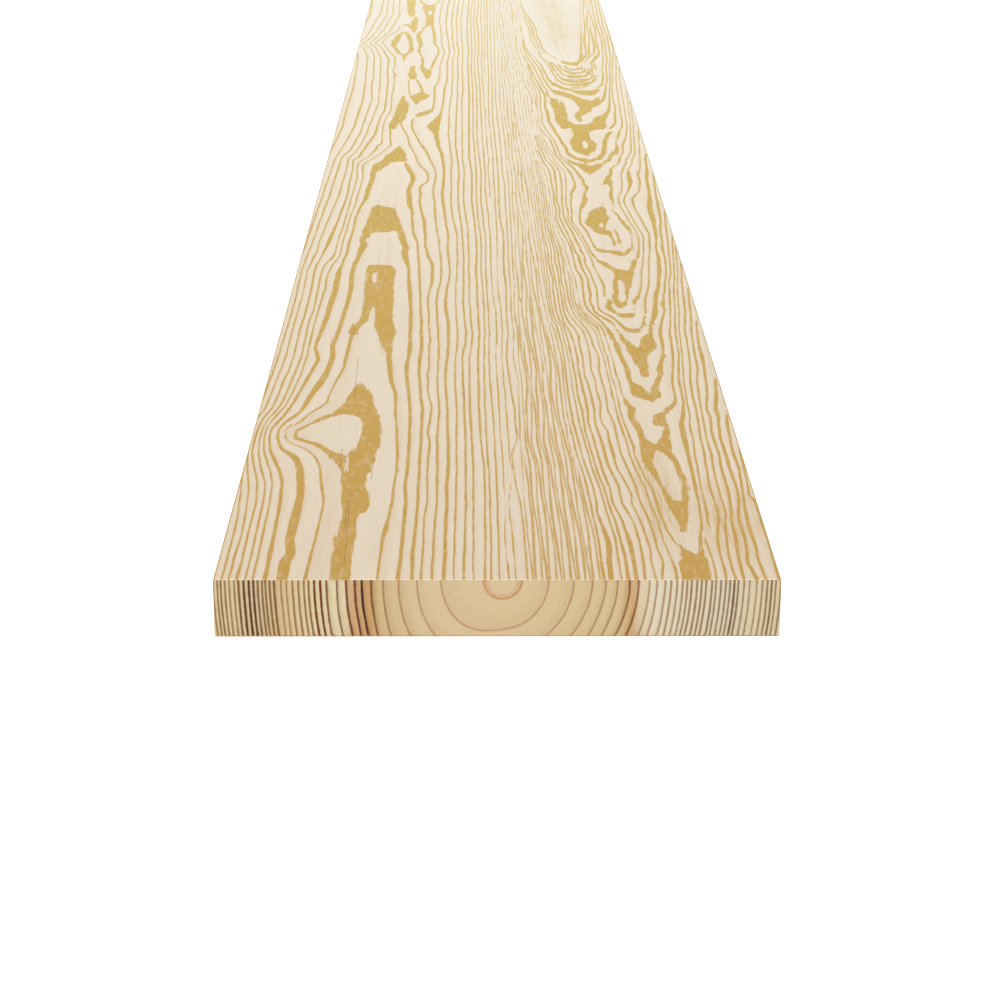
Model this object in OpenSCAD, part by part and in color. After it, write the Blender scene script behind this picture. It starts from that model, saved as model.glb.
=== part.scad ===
// Surfaced softwood plank, one piece of stock sawn and planed from a log.
// The plank lies on its broad face: X is its width, Y its length, Z its thickness.
// The origin is the middle of the underside.

/* [Plank] */
// Width of the broad faces, nominal 10 inch stock after planing
plank_w = 235; // [60:0.5:400]
// Thickness, nominal 5/4 inch stock after planing
plank_t = 25.4; // [12:0.1:60]
// Length as sold, 6 feet
plank_l = 1828.8; // [300:0.1:4900]

/* [Edges] */
// Radius of the four long edges, as the planer knives and handling leave them
long_edge_r = 0.8; // [0.3:0.1:4]
// Chamfer broken round both saw-cut ends
end_break = 0.3; // [0.1:0.1:2]

/* [Hidden] */

// Sides of a full circle of the long edges' radius
round_sides = 48;
// How far a cutting prism runs past the stock
clear_of = 5;

// Planed cross-section: a rectangle whose four corners are quarter circles.
module cross_section() {
    inner_w = plank_w - 2 * long_edge_r;
    inner_t = plank_t - 2 * long_edge_r;
    translate([-inner_w / 2, 0])
        square([inner_w, plank_t]);
    translate([-plank_w / 2, long_edge_r])
        square([plank_w, inner_t]);
    for (side = [-1, 1], level = [long_edge_r, plank_t - long_edge_r])
        translate([side * inner_w / 2, level])
            circle(r = long_edge_r, $fn = round_sides);
}

// The cross-section run along the length, between two square saw cuts.
module planed_stock() {
    translate([0, plank_l / 2, 0])
        rotate([90, 0, 0])
            linear_extrude(height = plank_l)
                cross_section();
}

// Outline of a size_x by size_y rectangle with its corners cut at 45 degrees.
module broken_rectangle(size_x, size_y) {
    x = size_x / 2;
    y = size_y / 2;
    polygon([
        [-x + end_break, -y], [x - end_break, -y], [x, -y + end_break], [x, y - end_break],
        [x - end_break, y], [-x + end_break, y], [-x, y - end_break], [-x, -y + end_break]
    ]);
}

// Seen from above: the upright edges of both ends broken.
module plan_limit() {
    translate([0, 0, -clear_of])
        linear_extrude(height = plank_t + 2 * clear_of)
            broken_rectangle(plank_w, plank_l);
}

// Seen from the side: the level edges of both ends broken.
module side_limit() {
    translate([plank_w / 2 + clear_of, 0, plank_t / 2])
        rotate([0, -90, 0])
            linear_extrude(height = plank_w + 2 * clear_of)
                broken_rectangle(plank_t, plank_l);
}

module plank() {
    color("burlywood")
        intersection() {
            planed_stock();
            plan_limit();
            side_limit();
        }
}

plank();
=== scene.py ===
"""A planed softwood board lying flat, with its rings traced on the face and on the sawn end."""
import math

import bpy
import numpy as np
from mathutils import Matrix, Vector


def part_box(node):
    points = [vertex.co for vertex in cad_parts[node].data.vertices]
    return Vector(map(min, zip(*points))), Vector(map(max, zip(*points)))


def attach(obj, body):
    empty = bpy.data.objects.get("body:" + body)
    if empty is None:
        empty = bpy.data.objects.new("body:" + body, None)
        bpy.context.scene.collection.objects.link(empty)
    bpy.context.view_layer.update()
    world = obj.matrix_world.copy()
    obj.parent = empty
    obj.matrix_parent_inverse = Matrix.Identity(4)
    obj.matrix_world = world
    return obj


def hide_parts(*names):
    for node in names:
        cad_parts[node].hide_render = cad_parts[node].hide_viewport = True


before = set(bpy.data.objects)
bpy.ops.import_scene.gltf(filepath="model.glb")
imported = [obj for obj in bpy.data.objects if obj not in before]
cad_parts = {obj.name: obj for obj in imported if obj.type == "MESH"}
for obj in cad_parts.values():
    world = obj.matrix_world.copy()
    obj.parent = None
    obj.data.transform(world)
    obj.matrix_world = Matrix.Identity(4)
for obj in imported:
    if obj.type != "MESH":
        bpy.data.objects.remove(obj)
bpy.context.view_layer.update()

MM = 0.001
LOW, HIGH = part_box("plank")
WIDTH = HIGH.x - LOW.x
LENGTH = HIGH.y - LOW.y
THICK = HIGH.z - LOW.z
# Radius of the long edges, and the break round the sawn ends.
EDGE_ROUND = 0.8 * MM
END_BREAK = 0.3 * MM

# Kinds of face, which are also the numbers of their materials.
FACE, EDGE, END = 0, 1, 2
# Columns of the top face: (number, place as a share of the half width), evenly spaced between.
COLUMNS = [(0, -1), (110, 0.043), (166, 0.428), (228, 1)]
TOP_COLUMNS = COLUMNS[-1][0] + 1
# Top columns for each column of the underside, points down each side wall, and points on each
# rounded edge between the flat and the wall.
UNDER_STEP = 6
WALL_ROWS = 9
BEND = 3
# Gap between cross rows at the near end in mm, the mm of length over which it grows by 1 mm, and
# the share of it that is left among the arcs.
ROW_GAP = 3.1
ROW_OPENING = 235
ARC_ROWS = 0.45
# Bands of the bake map, as (lower edge, height): the top, the underside, the near end, the far end,
# the left side and the right side.
BAKE_BANDS = [(0.005, 0.625), (0.64, 0.18), (0.83, 0.034), (0.874, 0.034), (0.918, 0.034), (0.962, 0.034)]
BAKE_MARGIN = 0.005

# Distance in mm past which the nearest patch no longer matters.
FAR = 3.0
# Length in mm over which a growth line thins out at an end inside the board.
TAPER = 9.0
# Zones of fine lines, as (first rank, last rank, mm along the board from which they are there). At
# the near end the lines are FINE_STEP mm apart, and 1 mm more for each FINE_OPENING mm of length.
# FINE_PART of the gap between two lines is a line's half width.
FINE = [(28, 42, 0), (43, 58, 1000), (72, 75, 1340)]
FINE_STEP = 1.8
FINE_OPENING = 1330
FINE_PART = 0.25
# How far behind an arc's outline its hollow lies, and how far the hollow's sides are drawn in, in mm.
ARC_THICK = 7.5
ARC_SIDE = 1.1

# The photograph's camera: its place in metres, its heading, dip and roll in radians, and its lens
# and sensor in mm.
CAMERA_PLACE = (-0.00819, -1.9625, 0.40494)
CAMERA_TURN = (0.00878, 0.31805, 0.00252)
CAMERA_LENS = 97.2
CAMERA_SENSOR = 36.0
# Strength of the room light, and the power in watts, side and place in metres of the lamp.
ROOM_LIGHT = 0.8
LAMP_POWER = 160.0
LAMP_SIDE = 4.0
LAMP_PLACE = (-1.0, -5.0, 2.6)
# Half of the floor's side, and the gap between it and the board, in metres.
FLOOR_HALF = 30.0
FLOOR_GAP = 0.0002

# Gloss of the wood, from 0 to 1, and the depth of its finest relief in metres.
GLOSS = 0.12
RELIEF = 0.0002
# Share of golden wood mixed into the pale wood: beside a line and in streaks.
BESIDE_LINES = 0.14
IN_STREAKS = 0.12
# Share of pale wood mixed into the golden, how much fainter the fine lines are, and how dark the
# cracks are.
MOTTLED = 0.32
FINE_FAINTER = 0.1
CRACK_STRENGTH = 0.62
# Share of ring colour mixed into the sawn end: just inside a ring, in flecks and in rays.
INSIDE_RINGS = 0.34
IN_FLECKS = 0.22
IN_RAYS = 0.1

# Colours are given as red, green and blue of 0 to 255. Those along the board stand at shares of its
# length from the near end.
# Pale earlywood and golden latewood of the planed wood. Their rise towards the far end is painted light: the
# far part of the board is drawn lighter, as if lit brighter, on top of the wood's own colour.
EARLYWOOD_AND_PAINTED_LIGHT = [(0, (220, 205, 183)), (0.25, (230, 217, 196)), (0.55, (246, 234, 215)),
             (1, (255, 250, 238))]
LATEWOOD_AND_PAINTED_LIGHT = [(0, (188, 147, 68)), (0.25, (197, 160, 74)), (0.55, (209, 176, 83)),
            (1, (238, 210, 122))]
# Colours of the rounded top edges, of the end's lower rim and innermost ring, and of the cracks.
RIM = (188, 148, 62)
END_RIM = (186, 120, 54)
HAIR_COLOUR = (120, 78, 34)
# Colours of the sawn end, as (mm from its middle, colour): of the wood between the rings, and of
# the rings. The wood is browner where the heart meets the outer wood, near -55 and 56.
END_PALE = [(-117, (205, 186, 147)), (-91, (194, 170, 129)), (-77, (206, 192, 152)),
            (-63.5, (204, 191, 155)), (-60, (192, 156, 114)), (-52, (183, 143, 92)),
            (-49.5, (190, 166, 122)), (-30, (196, 176, 142)), (50, (195, 175, 135)),
            (56, (190, 156, 108)), (59.5, (203, 186, 156)), (65, (205, 197, 174)),
            (117, (202, 186, 152))]
END_DARK = [(-117, (116, 76, 34)), (-101, (64, 26, 14)), (-86, (132, 86, 46)), (-75, (98, 36, 8)),
            (-62, (98, 30, 8)), (-56, (52, 10, 20)), (-46, (134, 90, 56)), (-10, (164, 112, 71)),
            (48, (138, 94, 54)), (56, (104, 50, 20)), (63, (146, 104, 54)), (98, (84, 48, 12)),
            (106, (120, 86, 50)), (117, (98, 66, 28))]

# Hair cracks of the top face, as (along, across) in mm of both ends, and how far in mm one reaches
# to each side of its middle.
CHECKS = [((12, -63.9), (128, -66)), ((60, -66), (112, -66.6)), ((262, -70.4), (354, -72.1)),
          ((150, -72.4), (186, -72.6)), ((30, 38.5), (44, 38.6)), ((130, -57.2), (170, -57)),
          ((386, -76.5), (412, -76.9)), ((459, -73.3), (519, -75.3)), ((592, -80.1), (614, -78.7)),
          ((700, -73.9), (760, -75.9)), ((697, -63), (742, -64.3)), ((336, 81.8), (374, 80.3)),
          ((262, -14.7), (305, -15.3))]
HAIR = 0.22

# Annual rings on the sawn end: (radius, strength) in mm from the middle of the top edge, on the
# left and on the right. END_HALF is the half width in mm of a ring of strength 1.
RINGS_LEFT = [(5.8, 0.35), (23.3, 0.35), (33.3, 0.35), (41, 0.4), (47.5, 0.45), (52.3, 0.75),
              (56.1, 1), (59, 0.8), (62.5, 0.85), (66.4, 0.6), (70.7, 0.75), (73.2, 0.95),
              (75.7, 0.95), (78, 0.65), (79.9, 0.6), (82.2, 0.6), (84.6, 0.65), (87.1, 0.4),
              (89.3, 0.4), (92.2, 0.9), (94, 0.7), (95.8, 0.65), (97.2, 0.6), (99, 0.6), (100.8, 0.9),
              (102.7, 0.95), (104.8, 0.95), (106.9, 0.8), (108.7, 0.4), (110.7, 0.4), (112.5, 0.55),
              (114.2, 0.7), (115.6, 0.6), (117.2, 0.5), (119.5, 0.4), (122, 0.4)]
RINGS_RIGHT = [(10.4, 0.35), (21.4, 0.35), (31.8, 0.35), (39.5, 0.4), (44.9, 0.4), (49.7, 0.45),
               (54.8, 0.7), (58.5, 0.75), (63, 0.45), (66.1, 0.55), (69.5, 0.55), (71.9, 0.6),
               (74.4, 0.5), (76.7, 0.55), (78.6, 0.6), (80.4, 0.65), (82.6, 0.65), (84.5, 0.65),
               (86.3, 0.6), (88.8, 0.65), (90.4, 0.5), (92.5, 0.5), (94.5, 0.45), (96.2, 0.45),
               (98, 0.8), (99.6, 0.55), (102, 0.4), (104.3, 0.4), (107.2, 0.35), (109.6, 0.45),
               (111.7, 0.6), (113.5, 0.8), (115.2, 0.45), (117.3, 0.55), (119.8, 0.4), (122, 0.4)]
END_HALF = 0.5

# Brownish stains of the pale wood: (along, across, half length, half width, strength), in mm.
STAINS = [(110, 72, 110, 13, 0.5), (75, 102, 85, 22, 0.5), (1540, 70, 190, 24, 0.3),
          (1720, 62, 180, 30, 0.25)]

# Arcs under the far oval of the top face, each inside the one before: the outline of each as
# (along, left, right) in mm.
ARCS = [
    [(1221, 70.4, 76.2), (1225, 65.2, 84.1), (1235, 61.6, 89.8), (1248, 59.1, 93.3), (1271, 57.3, 95),
     (1296, 55.4, 95.8), (1327, 52.7, 95.6), (1349, 51, 95), (1372, 48.6, 98.5), (1392, 46.8, 102),
     (1419, 46.1, 101.6)],
    [(1240, 70.1, 78.9), (1245, 65.3, 84.9), (1253, 62.7, 88.6), (1268, 61.1, 91.2), (1290, 59.2, 92.6),
     (1314, 56.9, 92.6), (1340, 54.2, 92.1), (1353, 52.7, 91.6)],
    [(1262, 71.8, 79.7), (1267, 67.5, 84.8), (1278, 64.8, 87.6), (1293, 62.8, 89.5), (1314, 60.4, 89.8),
     (1333, 58.1, 88.8), (1346, 56.4, 88.3)],
    [(1282, 72.4, 80.4), (1287, 69.1, 84), (1296, 66.9, 86), (1309, 64.8, 86.9), (1324, 62.9, 86.4),
     (1340, 60.6, 85.7)],
    [(1301, 72, 79), (1305, 70.2, 82.2), (1313, 68.4, 84), (1326, 66.3, 84.5)],
]

# Growth lines of the top face from left to right: (rank, points), each point being the distance
# along the board from the near end, the place across it and, where it changes, the width, in mm.
GRAIN_LINES = [
    (0, [(990, -118.2, 1), (1000, -117.3), (1050, -117), (1100, -117.4), (1200, -117, 1.1),
        (1250, -117.3, 1), (1290, -118.3)]),
    (1, [(890, -118.2, 0.8), (902, -117.3, 0.9), (925, -116.9, 1.2), (1025, -112.6, 1.3), (1100, -113.2),
        (1200, -112.1), (1350, -114.5, 1.2), (1375, -115.2, 1.3), (1415, -118, 1), (1540, -118.3),
        (1650, -114, 1.6), (1750, -116.5, 2), (1829, -117)]),
    (2, [(0, -117.4, 0.8), (60, -117.8), (90, -118.5), (560, -118.5), (580, -117.3, 1), (600, -116.8),
        (900, -111.9), (975, -106.6, 1.4), (1025, -103.7, 1.7), (1150, -101.8, 1.6), (1250, -103.5, 1.2),
        (1375, -106.7, 1.4), (1425, -112.2, 1), (1437, -114.8), (1447, -118), (1466, -118, 1.2),
        (1476, -115.2), (1490, -112.6, 1.3), (1525, -110.2), (1600, -107.3, 1.5), (1650, -104, 1.6),
        (1829, -105.4, 1.4)]),
    (3, [(0, -114, 1), (60, -113.7), (85, -114), (130, -116.3), (145, -117.3), (165, -119), (235, -119),
        (252, -117.4), (320, -115.5, 1.2), (350, -115, 1.1), (450, -113.9, 1), (500, -114),
        (550, -114.7), (600, -113.2), (775, -109.3, 1.3), (900, -107.3, 1.1), (910, -106.6, 1.5),
        (935, -102.3, 1.6), (1000, -97.9, 1.3), (1150, -94.5, 1.2), (1225, -97.4, 1.6), (1250, -97, 1.4),
        (1375, -100.6, 1.2), (1400, -102.5), (1425, -106.2), (1455, -115.1, 1.6), (1467, -110.8),
        (1497, -106.8, 1.5), (1530, -104.7, 1.2), (1547, -102.8, 1.4), (1625, -98.6, 1.1),
        (1650, -97.6, 1), (1700, -99, 1.1), (1829, -100.5)]),
    (4, [(0, -111, 1), (30, -110.9, 1.1), (53, -110.2, 1), (87, -110.8, 0.9), (120, -112.2),
        (150, -115.2), (172, -116.9), (190, -117.8), (225, -117.8), (236, -116.8, 1), (247, -115),
        (255, -114.2), (350, -110.9), (400, -111.1), (500, -110.2, 0.9), (550, -111.2), (588, -109, 1.4),
        (600, -108.2, 1), (625, -108.3), (775, -102.9, 1.3), (850, -102.1, 1.1), (900, -102.1, 1.2),
        (915, -99.7, 1), (950, -95.8), (1000, -93, 1.2), (1125, -88.8), (1145, -88.7, 1),
        (1350, -93.7, 1.2), (1375, -95.4), (1425, -100.9), (1432, -102, 1.4), (1448, -106.2, 1.2),
        (1457, -107), (1530, -98, 1.3), (1548, -96.5, 1.2), (1600, -94.6), (1645, -91.7, 1.1),
        (1700, -93.2, 1.3), (1829, -95, 1.2)]),
    (5, [(0, -107.5, 1.3), (100, -107.4, 1), (130, -109.1), (163, -113.6), (177, -115.1), (200, -115.6),
        (217, -115.4), (228, -114.7), (236, -113.9, 1.1), (246, -111.9), (254, -110.8), (268, -110),
        (307, -108.5), (320, -107.4), (350, -106.7), (400, -107), (450, -106.1, 1.3), (500, -105.8),
        (525, -106.5), (550, -106.6), (567, -106.2), (580, -105, 1.2), (600, -103.8, 1.4),
        (612, -102.8, 2), (630, -102.1, 2.7), (700, -99.1, 1.3), (770, -97.2, 1.6), (860, -97.6, 1.1),
        (893, -98.4, 1.3), (899, -97.5, 1.6), (902, -95.7, 1.4), (907, -94.8, 1.7), (960, -90.3, 2.2),
        (975, -88.2), (1000, -86.3, 2), (1070, -84.8, 1.2), (1100, -82.5, 1.8), (1150, -82.7, 1.5),
        (1250, -84.6, 1.6), (1300, -86.4, 1.4), (1350, -87, 1.7), (1365, -87.9, 2), (1425, -95.4, 1.2),
        (1437, -97.5, 1.4), (1449, -101.7, 1.2), (1458, -102.5), (1488, -97.5, 1.4), (1530, -91.6, 1.3),
        (1575, -88.4, 1.6), (1645, -85.2, 1.4), (1700, -87.2, 1.2), (1829, -89, 1.4)]),
    (6, [(0, -104, 1), (60, -104.1), (100, -104.3), (115, -104.6), (130, -105.5, 0.9), (150, -108.8, 1),
        (175, -111.8, 0.9), (190, -112.9), (200, -113.2), (215, -113.2), (225, -112.7), (233, -111.7),
        (244, -109.2, 1), (252, -107.8), (266, -106.4), (350, -102.3), (375, -102.8), (425, -103),
        (450, -101.8), (475, -101.7, 1.1), (525, -102.4), (550, -102.2, 1), (560, -101.6, 1.1),
        (568, -100.6, 1.2), (574, -99.8, 1.6), (580, -98.3, 2), (586, -97.4), (593, -96.9, 1),
        (640, -96.4), (675, -95.3), (830, -92.9), (870, -94.9), (883, -94.2), (891, -93.2, 1.4),
        (903, -88.9, 1.2), (910, -87.5, 1), (940, -83, 2), (950, -82.9, 2.2), (960, -80.3, 1.4),
        (975, -80, 1.1), (985, -80.8, 1), (1025, -81.3), (1050, -80.9), (1065, -80.6),
        (1100, -77.3, 1.1), (1175, -78.7), (1200, -78.2, 1.3), (1262, -79.5, 1.4), (1270, -78.7, 2.4),
        (1276, -78.9), (1293, -81.5, 1.2), (1330, -80.9, 1.3), (1379, -82.4, 1.6), (1384, -84.3, 1.8),
        (1392, -86.1, 1.2), (1447, -93.9, 1.1), (1461, -96.8, 1.2), (1500, -91.3, 1.3),
        (1538, -83.2, 1.8), (1548, -82.6, 1.2), (1556, -83.2, 1.1), (1565, -82.5, 1.4), (1572, -80.9, 2.4)]),
    (7, [(0, -101, 1), (100, -101.2), (130, -102.2, 0.9), (150, -104.9), (180, -109.7), (200, -111.2),
        (215, -111.2), (225, -110.6), (255, -104.8, 1), (280, -102.7, 0.9), (320, -100.3, 1),
        (350, -99.5), (375, -99.8), (430, -99.5, 0.9), (500, -97.9, 1.5), (530, -98.4, 1.2),
        (545, -98.2, 1), (567, -96.3, 1.2), (588, -93.5, 1), (640, -93.2), (700, -92), (750, -90.2),
        (830, -88.8, 0.9), (876, -91, 1.5), (893, -87.5, 1.2), (900, -84.8, 1.5), (926, -78, 1),
        (943, -75.5, 1.5), (950, -73.3, 1.6), (957, -73, 1.5), (975, -74.2, 1.4), (1025, -75.6),
        (1045, -74.6, 1)]),
    (8, [(0, -96, 2), (30, -96, 2.1), (60, -96.2, 1.7), (100, -96.5), (130, -97.6), (150, -100.6),
        (165, -103.5, 1.9), (180, -106.5, 1.5), (200, -108.6, 1.2), (212, -108.9, 1.1), (220, -108, 1.4),
        (230, -106, 2), (240, -104, 1.7), (265, -100.5, 1.5), (300, -97.3, 1.7), (342, -93, 2.2),
        (370, -96.2, 2), (385, -95.8), (400, -94.8, 2.5), (420, -94, 2.9), (475, -92.2, 3.6),
        (500, -91.7), (545, -92, 3.5), (553, -91.8, 2.4), (565, -90.8, 1.5), (600, -89.3, 1.7),
        (700, -88, 1.5), (725, -87, 1.6), (740, -86, 1.8), (752, -84.6, 2.2), (765, -83.5, 3.4),
        (785, -83.7, 3.6), (820, -81.8), (850, -82.1, 4.4), (862, -81, 6.8)]),
    (9, [(0, -89, 5), (22, -89), (32, -87.4, 4.4), (50, -89, 4), (75, -88.6, 4.2), (112, -88, 3.6),
        (150, -90.8), (160, -92.4), (168, -94.2, 4), (174, -96.6), (178, -99.2, 3.2), (183, -101.4, 2),
        (190, -103, 1.6), (200, -104.5, 1.4), (210, -105, 1.3), (215, -104.9), (226, -103, 1.8),
        (232, -101, 2.3), (237, -99, 2.5), (243, -97.3, 2.1), (250, -95.7, 2), (275, -92.8, 3),
        (295, -90, 4.2), (320, -87.2, 3.4), (335, -86.2, 3), (350, -86, 2.8), (375, -87),
        (400, -85.4, 2.6), (470, -83), (500, -82.7, 2.8), (520, -82.9), (540, -83.7), (560, -83.2, 3),
        (590, -81.5, 3.2), (600, -81, 3.8), (610, -80, 5.2), (620, -79.6), (632, -81, 4),
        (645, -80.6, 4.4), (654, -79, 6)]),
    (9, [(1155, -62.3, 1.6), (1190, -65, 1.4), (1225, -66.3, 1.2), (1255, -66.6, 1.4)]),
    (10, [(0, -79.3, 1.6), (30, -78.8, 1.3), (70, -77.3, 1), (90, -77.2), (105, -77.5, 1.2),
        (120, -79, 1.5), (140, -80.8, 1.3), (150, -81.3), (160, -82.5, 1.2), (170, -84.8),
        (178, -88, 1.5), (184, -91.5, 1.8), (191, -97.5, 1.5), (195, -99.5, 1.3), (200, -100.7, 1.1),
        (207, -101.3, 1), (215, -101.5), (220, -100.7, 1.3), (223, -99.2, 1.7), (225, -97, 2.2),
        (228, -95.2, 1.6), (234, -94), (245, -91, 1.8), (250, -88.5, 2), (259, -85, 1.6),
        (264, -84, 1.3), (275, -83.7, 1.1), (300, -81.8, 1.2), (325, -79, 1.5), (380, -77.8, 2.3),
        (400, -77.3, 1.8), (425, -78, 0.7)]),
    (11, [(0, -49.3, 1.3), (45, -49.2, 1.5), (65, -48.2, 2.4), (75, -47.5, 1.8), (90, -46.9, 1.4),
        (150, -45.9, 1.3), (185, -46.5, 1.4), (225, -48, 1.2), (240, -48.9, 1.3), (260, -49.4, 1.4),
        (280, -50.3, 1.6), (300, -52.8, 2.2), (320, -54.2, 2.4), (355, -55.8, 3)]),
    (12, [(0, -41, 1.7), (50, -40.5, 1.6), (100, -40.4, 1.7), (125, -41.2), (150, -40.8, 1.6),
        (225, -41.2), (250, -41.8, 1.7), (310, -45, 2), (330, -45.6, 2.3), (350, -45, 2),
        (375, -45.1, 2.4), (400, -45.3, 2.1), (435, -46, 2.4), (450, -46.2, 1.8), (500, -48.3, 2.6),
        (550, -49.7, 1.7), (560, -50.5, 2), (575, -52, 3.6), (590, -53.3, 4.4), (600, -53.8, 4.6),
        (610, -53.2, 4.4), (625, -55, 4.8), (652, -57.5, 5)]),
    (12, [(1170, -54, 3), (1200, -54.3, 2.5), (1225, -56.9, 2.2), (1255, -60.6, 3.5)]),
    (13, [(0, -35.3, 1.5), (30, -35.7, 1.8), (75, -35.1, 1.4), (250, -35.6, 1.5), (275, -37.2),
        (300, -38), (315, -38.8, 1.6), (350, -38.9, 2.1), (375, -38.5, 1.8), (400, -39.2, 1.6),
        (425, -39.4, 1.5), (450, -40.5, 1.4), (550, -43.4), (625, -46.2), (640, -47.8, 2),
        (650, -49.2, 1.6), (700, -51.4, 1.5), (712, -51.6, 2), (725, -52.4, 2.2), (735, -53.8, 3.4),
        (745, -54.5, 3.8), (790, -55.6, 3.2), (825, -53.1, 3.8), (838, -53.7, 3.7), (875, -59.2, 3.8),
        (887, -60.6, 5)]),
    (14, [(0, -31.6, 0.9), (50, -31.4, 1), (80, -32), (100, -31), (150, -31.6), (195, -31.1, 1.3),
        (210, -32.3, 1.1), (230, -31.4), (255, -31.3, 1), (285, -33.9), (300, -33.8), (315, -34.5),
        (330, -33.5, 1.1), (370, -34.6), (385, -34.2), (420, -35.4, 1.2), (440, -35.6), (480, -37, 1.3),
        (500, -36.4), (515, -35.4, 1.8), (548, -35.5, 2), (566, -35.9, 2.4), (590, -38.8, 2),
        (617, -40.9, 1.5), (688, -42.9, 2.2), (720, -45.6, 1.8), (751, -47.6, 1.6), (775, -47.1, 2),
        (790, -47.9, 1.8), (800, -47.7), (806, -46.4, 2), (812, -44.4, 1.9), (820, -43.2, 1.6),
        (830, -42.6, 1.5), (845, -43.6), (855, -44.8, 1.6), (872, -49, 1.5), (885, -51, 1.4), (925, -55),
        (950, -58.6, 1.5), (985, -61), (1035, -67.3, 1.6), (1070, -69, 1)]),
    (14, [(1302, -48.8, 2), (1350, -46.7, 2.5), (1390, -43.8, 1.7), (1415, -43.5, 1.4), (1430, -44, 2),
        (1445, -47), (1460, -48, 2.5), (1500, -48.5, 3), (1550, -51), (1600, -52.5, 2), (1829, -54, 1.6)]),
    (15, [(0, -27, 1.1), (50, -27.2), (100, -26.7), (150, -27, 1.3), (200, -27.7), (225, -27.2, 1),
        (250, -27.2), (300, -29.2), (350, -28.9, 1.1), (475, -31.8, 1.2), (490, -31.8),
        (515, -30.3, 1.1), (550, -30.2), (575, -30.6), (625, -32.3), (650, -34, 1.2), (700, -36, 1.3),
        (750, -37.2, 1.4), (770, -38.5), (785, -38.9, 1.3), (840, -37.3, 1.2), (855, -38),
        (930, -46.3, 2), (945, -48.6, 2.3), (965, -51.8, 1.5), (1015, -57.8, 1.6), (1030, -58.9),
        (1050, -59.3, 1.4), (1062, -58.8, 1.5), (1073, -57.4, 2)]),
    (15, [(1096, -46, 4), (1106, -44.4, 2), (1125, -43.8, 1.3), (1150, -43.4, 1.9), (1212, -44.2, 1.5),
        (1235, -41.8, 1.6), (1250, -41.2, 1.4), (1300, -40.6, 1.2), (1325, -41.1), (1400, -38.3),
        (1460, -41.6), (1500, -41.8), (1600, -45.3, 1.3), (1680, -45, 1.2), (1750, -42.5, 1.4),
        (1829, -41)]),
    (16, [(0, -22.2, 1.5), (25, -22.1, 1.8), (50, -22.3, 1.6), (100, -22.1, 1.5), (125, -22.5, 1.8),
        (150, -21.9, 1.6), (250, -23.2, 1.2), (300, -24.9, 1.3), (325, -24.9), (350, -24.2, 1.5),
        (375, -24.1, 1.6), (425, -24.7, 2), (450, -26.1, 1.8), (475, -26.5, 1.6), (500, -26.3, 1.5),
        (525, -25.2, 1.3), (550, -24.9, 1.2), (600, -26.5, 1.6), (650, -27, 1.4), (675, -28.5, 1.5),
        (775, -32.5, 2.2), (850, -31.6, 2), (900, -33.6, 2.2), (925, -35, 2.5), (950, -37.5, 3),
        (1000, -40, 4.2), (1025, -42.5, 10), (1035, -42.5), (1048, -41.8, 7.6), (1060, -40, 6),
        (1085, -37.6, 2.2), (1125, -36.2, 1.5), (1200, -35.8, 1.7), (1250, -34.1, 1.4), (1350, -34.9),
        (1395, -33.6, 1.2), (1425, -34, 1.3), (1550, -38.1, 1.2), (1600, -38.8, 1.3), (1700, -38.1, 1.8),
        (1750, -36.5, 1.4), (1829, -35.5)]),
    (17, [(0, -18.1, 1), (50, -18.2), (150, -18), (200, -18.5), (250, -18.5), (300, -20),
        (350, -20, 0.9), (375, -19.2, 1), (400, -19.3, 1.1), (450, -20.5, 1), (500, -21, 0.9),
        (550, -20.5), (600, -20.6, 1), (650, -21.5), (700, -24.6, 1.1), (750, -26.2), (900, -27),
        (1000, -30.5, 1), (1100, -30.8), (1200, -29.4, 1.1), (1300, -29.5, 1), (1350, -30.5),
        (1400, -29, 1.1), (1450, -30.8), (1600, -33.2, 1.3), (1650, -33, 1.4), (1829, -30, 1)]),
    (18, [(0, -14, 1.2), (100, -13.5, 1.1), (150, -13.7), (200, -14), (300, -15.8), (350, -16.2, 1),
        (365, -15.8, 1.1), (375, -14.8), (400, -14.5, 1.2), (450, -16.2, 1), (600, -16.8, 1.1),
        (650, -18), (750, -21.2, 1.3), (800, -21.7), (850, -21.2), (950, -24.5), (1000, -25),
        (1250, -24.6, 1.1), (1350, -26), (1400, -25, 1.2), (1450, -27, 1.3), (1500, -27, 1.1),
        (1600, -29, 1.3), (1829, -26)]),
    (19, [(0, -10, 0.9), (150, -10.2, 1), (250, -12, 1.2), (300, -12.5, 1), (350, -12.5, 0.9),
        (375, -11.4, 1), (400, -11), (450, -12.5, 0.9), (550, -13.5), (600, -13.5, 1), (650, -14.2),
        (750, -17.5, 1.1), (800, -17.9), (850, -17.5, 1), (900, -19), (950, -19.6), (1150, -21),
        (1200, -20, 1.2), (1300, -21.5, 1), (1400, -21.5), (1600, -24.6), (1829, -21)]),
    (20, [(0, -5, 1), (100, -4.8), (150, -5, 1.1), (200, -6.8, 1.2), (250, -7.5), (350, -8, 1.1),
        (400, -7.1), (450, -8), (550, -9, 1.3), (600, -8.7, 1.1), (650, -9.2), (750, -12, 1.4),
        (850, -12.2, 1.2), (900, -14, 1.3), (950, -14.5, 1.5), (1200, -15.2, 1.6), (1350, -16.8, 1.3),
        (1400, -16.2), (1450, -17.2), (1600, -18.2, 1.5), (1829, -16, 1.2)]),
    (21, [(0, -2.5, 0.8), (100, -2.5), (150, -3, 0.9), (200, -4), (250, -4.5), (350, -4.7, 0.8),
        (400, -4), (500, -5, 0.9), (550, -6), (600, -5.8), (650, -6.2), (700, -8), (750, -8.8),
        (850, -9, 1), (1000, -11.5), (1200, -12), (1300, -13.5), (1400, -13.2), (1650, -15, 1.1),
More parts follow.
